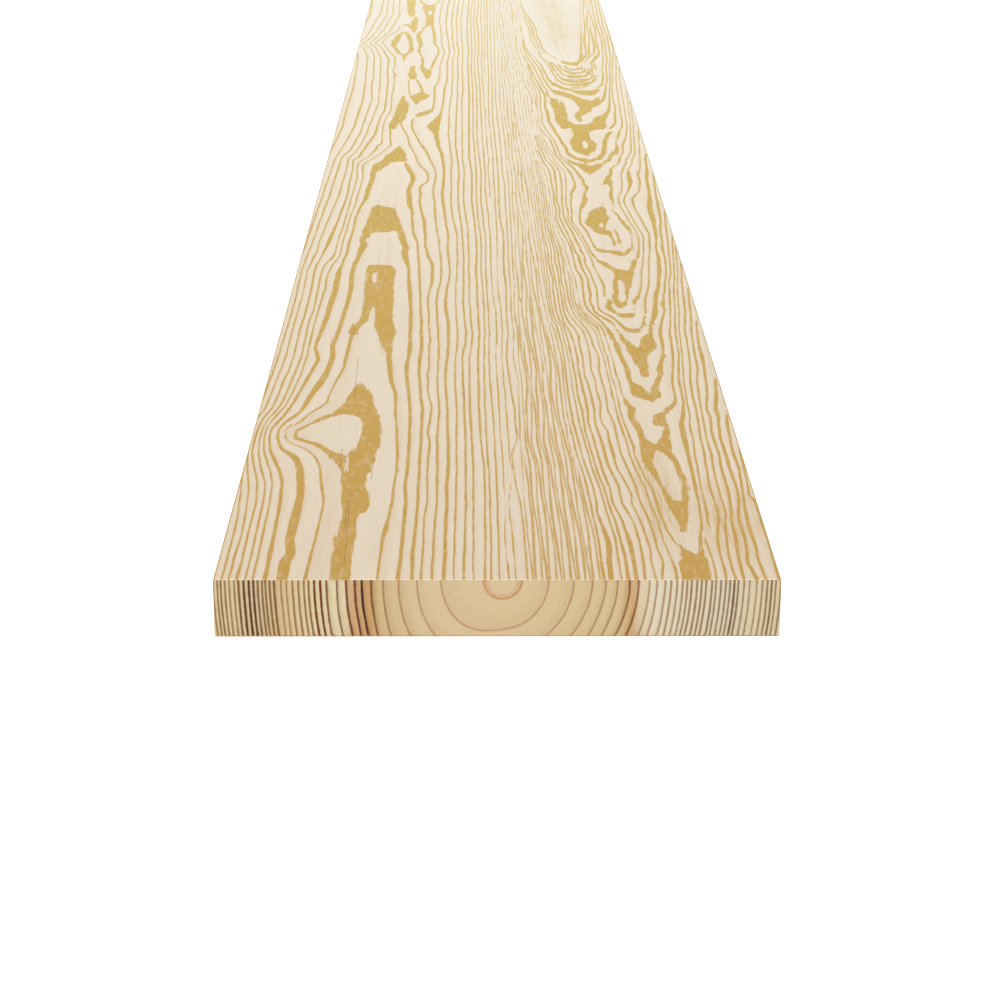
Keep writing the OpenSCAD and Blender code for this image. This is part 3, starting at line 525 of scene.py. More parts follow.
# Broad golden patches of the top face: outlines as (along, left, right) in mm.
PATCHES = [
    [(850, -84.3, -80), (860, -84.5, -77.5), (870, -84, -74), (880, -82.8, -72), (887, -80, -70),
     (890, -78.5, -59), (900, -76.7, -59.3), (915, -75.5, -60.3), (923, -72, -61), (932, -71, -63),
     (940, -69, -64.5), (948, -67.6, -65.5), (955, -66.3, -66.2)],
    [(640, -82.3, -77), (652, -82, -75.5), (656, -82, -70), (660, -81.8, -57.6), (675, -81.3, -58.5),
     (700, -80.3, -60), (715, -80, -61.5), (725, -79.8, -63), (731, -79, -66), (735, -78, -72),
     (742, -76.5, -74)],
    [(622, -56.5, -54), (632, -57.3, -53.4), (643, -57.8, -53.4), (655, -60, -55), (668, -62, -57),
     (680, -62, -58.5)],
    [(345, -57, -54.5), (355, -57.3, -54.3), (375, -60.8, -54.2), (390, -62.8, -53.8),
     (400, -64.5, -52.5), (415, -66, -54), (430, -65.8, -56.2), (450, -66.5, -56.6), (462, -68, -56.8),
     (475, -74, -57), (500, -75, -57.5), (525, -74.5, -58), (550, -75.5, -58), (560, -75, -59),
     (567, -74, -64)],
    [(396, -79, -75), (400, -79.5, -74), (410, -79, -74.5), (417, -77.5, -73), (425, -75, -70),
     (450, -74, -69), (466, -74, -68), (480, -74, -70)],
    [(-1, -70, -60.5), (50, -69.5, -61), (75, -68.5, -61), (90, -68, -57), (100, -69, -57),
     (125, -70.5, -57), (150, -72, -57.5), (158, -74, -57), (165, -77, -56), (175, -79.5, -56),
     (183, -83, -55.5), (190, -88, -55), (195, -93, -55), (198, -96, -55), (200, -97.3, -55),
     (210, -97.4, -55.3), (215, -96.8, -55.5), (218, -94.5, -55.5), (226, -90.5, -56), (232, -88, -56.5),
     (238, -85, -57), (243, -81, -58), (250, -78.5, -59), (265, -75, -60.5), (275, -73.5, -62),
     (285, -71.5, -64), (295, -70.2, -67), (300, -69.5, -69)],
    [(1548, -73, -70), (1557, -74, -70.8), (1568, -76, -72), (1572, -82, -73), (1577, -80.5, -75.5),
     (1580, -79, -76)],
    [(1515, -68.5, -67), (1530, -70, -67), (1540, -71.5, -66.8), (1560, -72.5, -66.5), (1566, -74, -69)],
    [(1018, -75.5, -72), (1025, -76.5, -70.5), (1040, -77, -70), (1060, -75, -65), (1090, -74, -63.5),
     (1125, -72.5, -63.5), (1140, -71.5, -65), (1155, -71, -67), (1170, -69.5, -68)],
    [(1070, -57.5, -55), (1076, -57, -53), (1082, -57, -49), (1088, -56, -46.5), (1094, -53, -44.5),
     (1100, -49, -43.5), (1106, -46, -43.3)],
    [(1124, -58, -57), (1130, -58.5, -56.5), (1135, -59.5, -56), (1145, -61.5, -54.5),
     (1150, -62.3, -51), (1160, -63.3, -49), (1170, -64, -48), (1178, -59, -49), (1186, -56, -53)],
    [(1252, -66.5, -62), (1260, -66.5, -60), (1270, -68, -60.5), (1285, -67.5, -61.5),
     (1300, -67.5, -62), (1320, -67, -62.8), (1330, -66, -63.5)],
    [(1345, -74, -73), (1385, -76, -71), (1395, -80, -69), (1405, -82, -66), (1420, -84.5, -66),
     (1430, -86.5, -66.5), (1450, -88, -67.5), (1470, -87.5, -68.5), (1480, -86, -69), (1500, -85, -70),
     (1510, -82.5, -71.5), (1520, -80.5, -73), (1527, -79, -75.5)],
    [(1250, -50.8, -50), (1255, -52, -49), (1265, -53, -48.3), (1275, -54.5, -48), (1290, -56, -48),
     (1300, -57, -48), (1310, -57.8, -54), (1325, -57.5, -55), (1350, -57.5, -55.3), (1375, -58.5, -57),
     (1390, -60, -58.5), (1400, -62, -59.7), (1410, -63, -59.5), (1425, -62, -59.3), (1450, -62, -58.5),
     (1475, -64.5, -60), (1490, -65.5, -61), (1510, -66, -61.5), (1525, -63.5, -60.5), (1540, -61, -59),
     (1560, -59, -56.5), (1575, -58, -51), (1600, -58, -51.5), (1620, -58, -51.5)],
    [(1624, -74.5, -70.5), (1645, -77.1, -70.2), (1702, -79.4, -70.8), (1746, -80.6, -71.8),
     (1829, -83, -74)],
    [(1530, -69.4, -66.5), (1550, -71.8, -65.6), (1583, -72.5, -65.7), (1627, -69, -66.7)],
    [(1570, -57.8, -50.6), (1611, -58.5, -50.7), (1652, -60.2, -50.7), (1677, -62.7, -50.5),
     (1693, -64.5, -49.9)],
    [(1699, -59.1, -54), (1706, -62.8, -50.1), (1724, -65.6, -47.8), (1746, -67.5, -46.1),
     (1800, -69, -44)],
    [(-1, 76.6, 89), (20, 76.8, 89), (25, 77.8, 88.5), (37, 78.4, 80.4), (45, 78, 78.4)],
    [(24, 85, 88.5), (37, 85.7, 88.6), (45, 87, 87.6)],
    [(60, 80.5, 82), (75, 79.4, 84), (87, 78.2, 84.9), (97, 77.3, 85.9), (100, 77, 86.2), (103, 80, 81)],
    [(96, 77, 80.4), (105, 76.1, 79.9), (112, 76.1, 78.5), (125, 74.9, 76.8), (137, 73.2, 75.9),
     (150, 70.6, 74.9), (162, 69.9, 73.5), (175, 69.9, 75.9), (183, 70.1, 77), (190, 70.1, 77),
     (200, 69.7, 73), (212, 69.6, 72.5), (225, 68, 70.6), (237, 66.3, 69.2), (250, 66.8, 72),
     (262, 65.9, 68.2), (270, 65.3, 66.3)],
    [(96, 82.6, 86.2), (105, 84.2, 86.8), (125, 85.6, 88), (137, 85.3, 88), (150, 84.2, 87),
     (162, 83.4, 86.3), (175, 81.1, 84.9), (181, 77, 84.7), (189, 77, 84.7), (200, 81.1, 84.7),
     (212, 82.5, 85.9), (225, 84, 85.4)],
    [(220, 80, 84), (225, 78.2, 84.9), (238, 78.6, 84.9), (247, 84.9, 87.8), (252, 85.9, 90.4),
     (262, 90.7, 92.3), (275, 92, 93.2)],
    [(263, 79.5, 80.5), (265, 77, 81.3), (270, 74.4, 83), (275, 70.5, 86), (280, 70, 78.7),
     (290, 69.9, 77.3), (300, 69.7, 72.5), (325, 69.4, 72), (337, 68, 71.1), (350, 67.5, 70.1),
     (375, 65.9, 69.4), (387, 65.4, 67.3), (400, 64.9, 67), (412, 62.6, 64.9)],
    [(272, 79, 85.6), (280, 80.4, 86.1), (290, 81, 85.5), (300, 82.8, 86.6), (312, 85.6, 88.5),
     (325, 86.1, 89.7), (337, 88.2, 90.6), (350, 89.4, 92.2), (362, 91.4, 92.8)],
    [(307, 79, 79.8), (312, 77, 81.8), (325, 76.6, 82.3), (337, 75.4, 82.5), (350, 74.4, 83),
     (362, 72.5, 86.8), (368, 72, 80), (370, 72, 77.3), (380, 71, 75.4), (390, 70.4, 72.5),
     (400, 69.2, 71.1), (412, 68, 69.9)],
    [(358, 78, 85), (370, 79.7, 89.2), (380, 80.6, 89.4), (390, 82, 88.7), (400, 86.3, 89.2),
     (410, 87.8, 89.7), (422, 88.7, 91), (436, 90.6, 92.8)],
    [(402, 75, 82.5), (406, 73.8, 83), (410, 73, 83.3)],
    [(408, 72, 76), (414, 71.8, 74.6), (422, 70.6, 73)],
    [(408, 81, 83.4), (420, 83.5, 85.9), (437, 85.5, 87.7), (450, 86.6, 88.7), (468, 87.4, 89)],
    [(436, 71.6, 81), (440, 71, 81.6), (444, 70.6, 81.9)],
    [(442, 70.6, 72.6), (450, 67.5, 71), (455, 65.4, 71), (459, 65.6, 68), (465, 66.3, 69.7),
     (472, 67, 69.4), (480, 67.2, 68.2)],
    [(442, 80.4, 82), (455, 81, 82.2), (465, 81.3, 82.8), (473, 81.3, 84.4), (487, 85.1, 86.8),
     (500, 86.9, 88.2), (510, 88.2, 89.3)],
    [(456, 73, 75), (458, 71.8, 75.9), (465, 71.1, 78.2), (480, 69.9, 79.4), (500, 71.6, 80.6),
     (512, 72, 83.5), (525, 73.2, 84.4), (535, 74, 85.4), (545, 74.4, 86.3), (552, 75, 80)],
    [(544, 74, 79), (552, 72.5, 78.7), (558, 69.7, 74), (565, 67.8, 73.5), (572, 65.5, 70),
     (580, 64.4, 65.9)],
    [(540, 81, 86), (552, 83.5, 86.8), (565, 85.9, 89.7), (575, 86.8, 90.1), (582, 89.2, 91.3),
     (590, 90.8, 91.8)],
    [(587, 80, 82), (590, 79, 83.5), (594, 77, 85.4), (598, 68.2, 86.6), (603, 66.3, 75.9), (608, 65, 68)],
    [(597, 84, 86.8), (603, 84.9, 88.2), (608, 87.3, 89.9), (625, 89.4, 90.5), (650, 89.4, 90.5),
     (662, 89.7, 91.1), (672, 86.8, 90.6), (690, 85.1, 87.3), (700, 84.7, 86.3), (715, 82, 84),
     (725, 81.8, 83), (750, 82.3, 83.7), (775, 82, 84.9), (800, 83.5, 86.3), (812, 81, 85.6),
     (825, 81, 85.8), (837, 83.5, 86.8), (850, 84.9, 88), (862, 86.3, 89.2), (872, 88.4, 90.4)],
    [(805, 79, 80), (812, 79.4, 82), (820, 80.2, 82)],
    [(612, 79, 79.9), (618, 76.8, 79.9), (632, 77.2, 79.5), (640, 77.6, 78.8)],
    [(618, 81.4, 82.2), (630, 81, 82.4), (645, 81, 81.8), (660, 79.6, 81.6), (668, 79.8, 80.6)],
    [(636, 76.8, 78.6), (650, 75.4, 78.6), (662, 76.2, 77.6)],
    [(648, 73, 74.6), (650, 70, 78.2), (656, 67.6, 76), (662, 66.3, 75.1), (670, 65.4, 74.9),
     (680, 62.5, 75.9), (690, 62, 77.3), (700, 64, 78.7), (710, 64.4, 77.8), (720, 66.3, 77.5),
     (728, 69.7, 77.5), (735, 76, 76.8), (745, 76.2, 76.6)],
    [(838, 71.2, 71.8), (845, 71.1, 72), (850, 68.7, 74.4), (855, 67.8, 76.3), (862, 65.9, 79.2),
     (870, 64.9, 80.6), (876, 64, 82.5), (880, 61.5, 68)],
    [(866, 74, 80.6), (877, 74.9, 82.5), (887, 82.5, 85.9), (893, 84, 88.7), (900, 85.9, 91.2)],
    [(874, 62, 69.2), (882, 60.1, 65.4), (887, 58.6, 63.5), (893, 57, 60.6), (898, 56, 58.8)],
    [(886, 69.5, 73), (888, 68.2, 74), (893, 66.3, 76.8), (898, 64.4, 80.6), (901, 63.6, 68)],
    [(894, 73, 81.1), (900, 75.4, 83.5), (906, 79.2, 84.4), (914, 81.1, 85.4), (925, 83, 86.8),
     (940, 84.4, 87.8), (955, 85.9, 88.7), (970, 86.8, 90.1), (985, 88.2, 91.6), (1000, 90.1, 93.1)],
    [(893, 86, 87.8), (897, 86, 89.8), (905, 86.6, 90.3), (912, 87.5, 90.7), (918, 88.9, 94.5),
     (926, 89.8, 96.3), (935, 93.6, 96.9), (945, 94.5, 97.3), (957, 95.4, 97.3), (965, 95.4, 97.2),
     (975, 95.7, 97.8), (985, 96.6, 98.9), (1000, 98.9, 101.3)],
    [(898, 62.5, 67.3), (903, 61.6, 66.3), (908, 59.7, 64.4), (912, 58.7, 62.5), (925, 56.8, 59.7)],
    [(909, 71.6, 73.5), (915, 70.6, 74.4), (922, 67, 74.9), (930, 63.5, 78.2), (940, 62, 79.7),
     (950, 61.6, 80.6), (957, 61.6, 81.3), (965, 61.3, 80.1), (975, 61.6, 78.2), (985, 63.5, 77.3),
     (1000, 64.9, 77.3), (1012, 64.9, 78.7), (1020, 64.7, 86.8), (1028, 64.4, 92), (1036, 63.5, 92),
     (1044, 61.6, 66.3), (1052, 59.7, 64.4)],
    [(1012, 75.4, 80.6), (1030, 74.4, 92), (1040, 77.3, 92), (1050, 81.6, 91.6), (1062, 82.5, 93.1),
     (1075, 85.9, 93.1)],
    [(1018, 57.3, 59.7), (1025, 55.9, 61.6), (1037, 54.4, 65.9), (1050, 53, 64), (1075, 53.2, 63.2),
     (1100, 52.3, 62.9), (1125, 51.3, 62.5), (1137, 51.1, 61.6), (1150, 51.3, 58.7), (1157, 51.6, 54.4),
     (1165, 50.6, 51.6)],
    [(1048, 72, 74.2), (1056, 69.7, 74), (1065, 69, 73.5), (1075, 68.7, 74.2), (1087, 69.4, 78.7),
     (1094, 70.6, 82), (1100, 73.5, 83), (1112, 74, 84), (1123, 73, 88.2), (1130, 72.5, 90.1),
     (1137, 71.8, 92), (1145, 70.6, 93.1), (1150, 69.7, 80.6), (1157, 67.3, 79.2), (1164, 65.4, 74.4),
     (1170, 61.6, 72), (1178, 55.9, 70.1), (1187, 54, 65.9), (1195, 53.5, 59.7), (1202, 53.2, 54.4)],
    [(1150, 85.9, 90.1), (1157, 87.8, 93.1), (1166, 91.1, 93.1)],
    [(1172, 80.6, 85.4), (1178, 75.9, 90.1), (1187, 71.1, 91.6), (1195, 69.2, 93.1), (1200, 63.5, 73.5),
     (1206, 61.1, 68.2), (1213, 58.7, 63.5), (1221, 54.4, 61.6), (1230, 53.5, 59.7), (1238, 53, 55.9),
     (1250, 51.6, 54.4)],
    [(1196, 89.2, 93.1), (1206, 91.6, 93.1)],
    [(1331, 70.6, 80.6), (1337, 67.3, 81.1), (1345, 65.9, 82.5), (1350, 65.4, 66.3)],
    [(1342, 79.7, 83), (1352, 80.6, 83.5), (1362, 81.6, 84.9), (1377, 82.8, 85.9), (1390, 84.4, 86.3)],
    [(1062, 86, 93.4), (1070, 87.2, 94.2), (1078, 89.5, 94.8), (1086, 91.3, 95.4), (1094, 92.8, 96.6)],
    [(1015, 86, 90.7), (1030, 86, 89.8), (1045, 86, 87.8)],
    [(1128, 86, 91.3), (1136, 86, 92.8), (1145, 87.8, 94.5)],
    [(1180, 86, 90.1), (1190, 86, 93.4), (1198, 87.8, 94.2), (1206, 91.3, 94.8)],
    [(958, 86, 89.5), (975, 86.3, 90.1), (990, 87.8, 91.3), (1000, 90.4, 94.2), (1012, 92.8, 96.6)],
    [(795, 96, 98.4), (806, 97.5, 99.8), (815, 97.2, 100.4), (830, 97, 100.7), (845, 97.8, 100.4),
     (858, 98.6, 100.1)],
    [(457, 96.6, 97.8), (465, 97, 98.9), (472, 97.8, 99.5)],
]

# Thin arcs where the far oval of the top face begins: (along, left, right) of each cap in mm.
THIN_ARCS = [(1208, 69, 81), (1215, 68, 84), (1222, 66.5, 85.5), (1229, 69, 84), (1237, 67, 87),
             (1245, 66, 85.5), (1252, 65, 88), (1262, 64.5, 84), (1271, 66, 86.5), (1281, 69.5, 80),
             (1295, 69, 75)]

# Pale places inside patches, given the same way.
EYES = [
    [(515, -69.7, -69.3), (525, -71, -68), (540, -71, -68), (550, -69.7, -69.3)],
    [(174, -72, -70), (178, -76.5, -68), (185, -80.5, -66.5), (190, -83, -66), (195, -87.5, -65.5),
     (199, -92, -65), (202, -95.6, -65), (211, -95.8, -64.5), (215, -93.5, -64.3), (220, -91, -64.5),
     (225, -88.8, -65), (230, -85, -65.5), (236, -80.5, -67), (241, -75, -72)],
    [(144, -70, -69.6), (150, -70.8, -68.6), (168, -70.8, -68.6), (174, -70, -69.6)],
    [(116, -57, -56), (122, -59.5, -55), (142, -59.5, -55), (148, -57, -56)],
    [(71, -59, -58.6), (76, -61, -57), (84, -61, -57), (88, -59, -58.6)],
    [(1390, -74.5, -74), (1395, -76.5, -72), (1405, -78.5, -70.5), (1425, -81, -70.3), (1450, -82, -71),
     (1475, -81, -72.5), (1500, -79.5, -75.5), (1515, -78, -76.5), (1522, -77.6, -77.4)],
    [(1635, -55.2, -54.6), (1645, -56.9, -53.2), (1659, -57.4, -53.4), (1677, -55.9, -55.5)],
    [(1712, -59.3, -54.3), (1724, -63.1, -50.3), (1746, -65.4, -48.2), (1801, -66.5, -46.5)],
    [(468, 75.5, 76), (475, 73.5, 77.5), (490, 74.2, 78.5), (512, 75, 79), (520, 75.4, 78),
     (527, 76, 76.5)],
    [(669, 72, 72.4), (676, 71, 73.6), (682, 72, 72.4)],
    [(937, 72.2, 72.6), (943, 70.9, 73.9), (949, 70.2, 75), (957, 70, 75.3), (965, 70.4, 74.6),
     (971, 71.8, 72.6)],
    [(1132, 58.2, 58.8), (1140, 57.6, 59.4), (1150, 57.8, 58.9), (1156, 58.2, 58.4)],
    [(1097, 72.2, 73.3), (1108, 71.6, 73.2), (1120, 71.8, 72.6)],
]


def along_board():
    """Places of the cross rows, in mm from the near end. Each step is ROW_GAP plus 1 part in
    ROW_OPENING of the distance, so the rows open out towards the far end. Among the arcs it is
    ARC_ROWS of that."""
    steps = [0.0]
    end = LENGTH / MM
    while steps[-1] < end:
        arcs = ARCS[0][0][0] - 15 < steps[-1] < ARCS[-1][0][0] + 25
        steps.append(steps[-1] + (ROW_GAP + steps[-1] / ROW_OPENING) * (ARC_ROWS if arcs else 1))
    places = np.array(steps)
    return places * end / places[-1]


def line_table(lines, rows):
    """Centre and half width of every growth line on every row, as two arrays (row, line). A half
    width less than nothing draws nothing.
    A traced line is straight between its points. Over TAPER mm from an end that lies inside the
    board, its half width rises from less than nothing. Lines of the fine zones aren't traced: as
    many of them as fit about fine_step(y) apart are placed evenly between their neighbours, swayed
    by a sine of the length, with about FINE_PART of their gap as half width, and eased over nine
    rows. Any other line that isn't there on a row is placed near the middle of its gap and isn't
    drawn. In the end each line is at least 0.04 mm to the right of the one before it."""
    count = max(rank for rank, _ in lines) + 1
    centre = np.full((len(rows), count), np.nan)
    half = np.full((len(rows), count), -1.0)
    placed = np.zeros((len(rows), count), bool)
    order = np.arange(count)
    for rank, points in lines:
        full = points[:1]
        for point in points[1:]:
            full.append(point if len(point) > 2 else (*point, full[-1][2]))
        y, x, width = np.array(full, float).T
        inside = (rows >= y[0]) & (rows <= y[-1])
        centre[inside, rank] = np.interp(rows[inside], y, x)
        drawn = np.interp(rows[inside], y, width) / 2
        lead_in = np.where(y[0] > 1, (rows[inside] - y[0]) / TAPER, 1)
        lead_out = np.where(y[-1] < LENGTH / MM - 1, (y[-1] - rows[inside]) / TAPER, 1)
        fade = np.clip(np.minimum(lead_in, lead_out), 0, 1)
        half[inside, rank] = drawn * fade - 0.3 * (1 - fade)
    for row, along in enumerate(rows):
        known = np.flatnonzero(~np.isnan(centre[row]))
        place = np.maximum.accumulate(centre[row, known])
        for low, high, start, stop in zip(known, known[1:], place, place[1:]):
            between = order[low + 1:high]
            fits = np.array([rank for rank in between for first, last, start_y in FINE
                             if first <= rank <= last and along >= start_y], int)
            room = max(round((stop - start) / fine_step(along)) - 1, 0)
            kept = np.sort(fits[np.argsort(fits * 0.618 % 1)[:room]])
            step = (stop - start) / (len(kept) + 1)
            sway = 0.25 * np.sin(along / 27 + kept * 2.1)
            centre[row, kept] = start + step * (1 + np.arange(len(kept)) + sway)
            half[row, fits] = -0.4
            half[row, kept] = FINE_PART * step * (1 + 0.35 * np.sin(along / 41 + kept * 3.7))
            placed[row, fits] = True
        known = np.flatnonzero(~np.isnan(centre[row]))
        place = np.maximum.accumulate(centre[row, known])
        above = np.clip(np.searchsorted(known, order), 1, len(known) - 1)
        low, high = known[above - 1], known[above]
        share = 0.5 + 0.5 * ((order - low) / (high - low) - 0.5)
        between = place[above - 1] + share * (place[above] - place[above - 1])
        between = np.where(order < known[0], place[0] - 4 * (known[0] - order), between)
        between = np.where(order > known[-1], place[-1] + 4 * (order - known[-1]), between)
        centre[row] = np.where(np.isnan(centre[row]), between, centre[row])
    centre = np.where(placed, eased(centre), centre)
    half = np.where(placed, eased(half), half)
    return np.maximum.accumulate(centre - order * 0.04, 1) + order * 0.04, half


def fine_step(y):
    """Distance in mm between lines of the fine zones, which grows evenly along the board."""
    return FINE_STEP + y / FINE_OPENING


def eased(values):
    """Mean of each value with its four neighbours on either side along the first axis."""
    padded = np.pad(values, ((4, 4), (0, 0)), "edge")
    return sum(padded[k:k + len(values)] for k in range(9)) / 9


def line_values(distance, rings, half):
    """Ring count, gap between rings and half width at each distance, as one array (..., 3).
    The count is a whole number on a ring. Between two rings it follows a cubic curve whose slope
    on a ring is two over the distance between the ring's neighbours, so the slope never jumps.
    The gap is one over the slope. The half width eases from one ring's to the next one's.
    Two more rings that draw nothing, 6 and 12 mm out, close each side."""
    outer = np.array([12.0, 6.0])
    blank = np.full(rings.shape[:-1] + (2,), -1.0)
    rings = np.concatenate([rings[..., :1] - outer, rings, rings[..., -1:] + outer[::-1]], -1)
    half = np.concatenate([blank, half, blank], -1)
    low = np.clip((distance[..., None] >= rings).sum(-1) - 1, 1, rings.shape[-1] - 3)

    def ring(step):
        return np.take_along_axis(rings, (low + step)[..., None], -1)[..., 0]

    start, stop = ring(0), ring(1)
    gap = np.maximum(stop - start, 0.02)
    first = 2 * gap / np.maximum(stop - ring(-1), 0.04)
    second = 2 * gap / np.maximum(ring(2) - start, 0.04)
    t = np.clip((distance - start) / gap, 0, 1)
    rise = t * t * (3 - 2 * t) + first * t * (1 - t) ** 2 - second * t * t * (1 - t)
    slope = 6 * t * (1 - t) + first * (1 - 4 * t + 3 * t * t) + second * (3 * t * t - 2 * t)
    ease = np.clip((t - 0.4) / 0.2, 0, 1)
    ease = ease * ease * (3 - 2 * ease)
    wide = [np.take_along_axis(half, (low + step)[..., None], -1)[..., 0] for step in (0, 1)]
    wide = wide[0] + (wide[1] - wide[0]) * ease
    return np.stack([low + rise - 2, gap / np.maximum(slope, 0.15), wide], -1)


def thin_arc(along, left, right):
    """A thin arc as two patches: a cap from left to right that closes at its middle, and a side
    that runs on from the cap's right-hand end, outwards along the board, and grows thinner."""
    middle = (left + right) / 2
    cap = [(along - 1.7, middle - 1, middle + 1), (along, left, right),
           (along + 1.6, left + 1, right - 2), (along + 2.2, middle - 1, middle + 1)]
    side = [(along - 0.5, right - 1.6, right - 0.4), (along + 6, right + 1.2, right + 2),
            (along + 16, right + 3.5, right + 4.1), (along + 34, right + 5.1, right + 5.7)]
    return [cap, side]


def patch_distance(patches, rows, x):
    """Distance in mm from each place to the nearest patch edge, less than nothing inside one.
    A patch is a list of (along, left, right); its sides are straight between them. The distance is
    taken across the board."""
    nearest = np.full((len(rows), len(x)), FAR)
    for patch in patches:
        y, left, right = np.array(patch, float).T
        inside = (rows > y[0]) & (rows < y[-1])
        low = np.interp(rows[inside], y, left)[:, None]
        high = np.interp(rows[inside], y, right)[:, None]
        away = np.abs(x[None] - (low + high) / 2) - (high - low) / 2
        nearest[inside] = np.minimum(nearest[inside], away)
    return np.clip(nearest, -FAR, FAR)


def arc_distance(rows, x):
    """As patch_distance, for the arcs: each is its outline less the same outline moved ARC_THICK
    further along and drawn in by ARC_SIDE on both sides. The hollow's last part runs on, so that
    an arc is open at its far end."""
    nearest = np.full((len(rows), len(x)), FAR)
    for arc in ARCS:
        hollow = np.array(arc) + (ARC_THICK, ARC_SIDE, -ARC_SIDE)
        run_on = hollow[-1:] + (FAR * ARC_THICK, 0, 0)
        hollow = np.concatenate([hollow[hollow[:, 1] < hollow[:, 2]], run_on])
        band = np.maximum(patch_distance([arc], rows, x), -patch_distance([hollow], rows, x))
        nearest = np.minimum(nearest, band)
    return nearest


def soft_patches(patches, rows, x):
    """Strength of soft stains on each place: each is (along, across, half length, half width,
    strength), a dome that falls off as the square of one less the squared distance."""
    total = np.zeros((len(rows), len(x)))
    for along, across, long, wide, strength in patches:
        away = ((rows[:, None] - along) / long) ** 2 + ((x[None] - across) / wide) ** 2
        total += strength * np.clip(1 - away, 0, 1) ** 2
    return total


def section_loop():
    """Cross-section of the board as four runs of (x, z) in metres: the top from left to right, the
    right edge downwards, the underside from right to left and the left edge upwards.
    Each long edge is a quarter circle of EDGE_ROUND above and below a straight wall. The top's
    columns stand closer together among the fine lines."""
    side = WIDTH / 2
    flat = side - EDGE_ROUND
    column, share = np.transpose(COLUMNS)
    across = flat * np.interp(np.arange(TOP_COLUMNS), column, share)
    top = np.stack([across, np.full(TOP_COLUMNS, THICK)], 1)
    turn = np.radians(np.linspace(0, 90, BEND + 2)[1:-1])
    bend = np.stack([flat + EDGE_ROUND * np.sin(turn), THICK - EDGE_ROUND + EDGE_ROUND * np.cos(turn)], 1)
    wall = np.stack([np.full(WALL_ROWS, side), np.linspace(THICK - EDGE_ROUND, EDGE_ROUND, WALL_ROWS)], 1)
    right = np.concatenate([bend, wall, (0, THICK) + (1, -1) * bend[::-1]])
    under = top[::-UNDER_STEP] * (1, 0)
    return top, right, under, right[::-1] * (-1, 1)


def wander(y):
    """Slow drift in mm of the rings along the board: a sum of three sines of the length."""
    return 2.6 * np.sin(y / 163) + 1.7 * np.sin(y / 71 + 1.3) + 0.8 * np.sin(y / 29 + 0.4)


def sawn_lines(points):
    """Ring count, gap and ring strength in the body of the board, for its ends, sides and
    underside, where nothing is traced. A ring is an ellipse about the middle of the top edge,
    with its depth drawn in by up to 0.32 on the left and 0.18 on the right. The left-hand and
    right-hand radii are blended by how far round from left to right the direction points. The
    rings drift with length, from none at the near end to the whole drift 60 mm along."""
    x = points[:, 0] / MM
    deep = (THICK - points[:, 2]) / MM
    y = (points[:, 1] - LOW.y) / MM
    shift = np.clip(y / 60, 0, 1) * wander(y)
    flat = 1 - 0.32 * np.clip(-x / 50, 0, 1) - 0.18 * np.clip((x - 50) / 20, 0, 1)
    away = np.hypot(x + 0.8 * shift, flat * (deep + 0.35 * shift))
    blend = (0.5 + 0.5 * x / np.maximum(np.hypot(x, deep), 1e-6))[:, None]
    left, right = np.array(RINGS_LEFT), np.array(RINGS_RIGHT)
    radii = left[:, 0] + (right - left)[:, 0] * blend
    return line_values(away, radii, left[:, 1] + (right - left)[:, 1] * blend)


def end_grid(first, runs, toward):
    """Faces that close one end. first holds the point numbers of the section there, in four runs,
    and runs the numbers of its inner grid's points. The grid has a column under each top point and
    a row beside each wall point; the underside has fewer points, so its last row is of larger
    faces, and each corner is one fan. toward turns the faces outwards."""
    top, right, under, left = first
    wall = slice(BEND, BEND + WALL_ROWS)
    faces = [quads(np.vstack([top, runs])), quads(np.stack([left[wall][::-1], runs[:, 0]], 1)),
             quads(np.stack([runs[:, -1], right[wall]], 1))]
    faces = [face for block in faces for face in block.tolist()]
    bottom = under[::-1]
    for j in range(len(bottom) - 1):
        span = runs[-1, j * UNDER_STEP:(j + 1) * UNDER_STEP + 1]
        faces.append([*span.tolist(), int(bottom[j + 1]), int(bottom[j])])
    faces.append([int(top[-1]), *right[:BEND + 1].tolist(), int(runs[0, -1])])
    faces.append([*right[BEND + WALL_ROWS - 1:].tolist(), int(under[0]), int(runs[-1, -1])])
    faces.append([int(under[-1]), *left[:BEND + 1].tolist(), int(runs[-1, 0])])
    faces.append([*left[BEND + WALL_ROWS - 1:].tolist(), int(top[0]), int(runs[0, 0])])
    return [face[::toward] for face in faces]


def quads(grid):
    """Four-sided faces between neighbouring rows and columns of a grid of point numbers."""
    return np.stack([grid[:-1, :-1], grid[:-1, 1:], grid[1:, 1:], grid[1:, :-1]], -1).reshape(-1, 4)


def put_attribute(mesh, name, values):
    """Stores a triple for every vertex under a name that the materials read."""
    layer = mesh.attributes.new(name, "FLOAT_VECTOR", "POINT")
    layer.data.foreach_set("vector", np.asarray(values, np.float32).ravel())


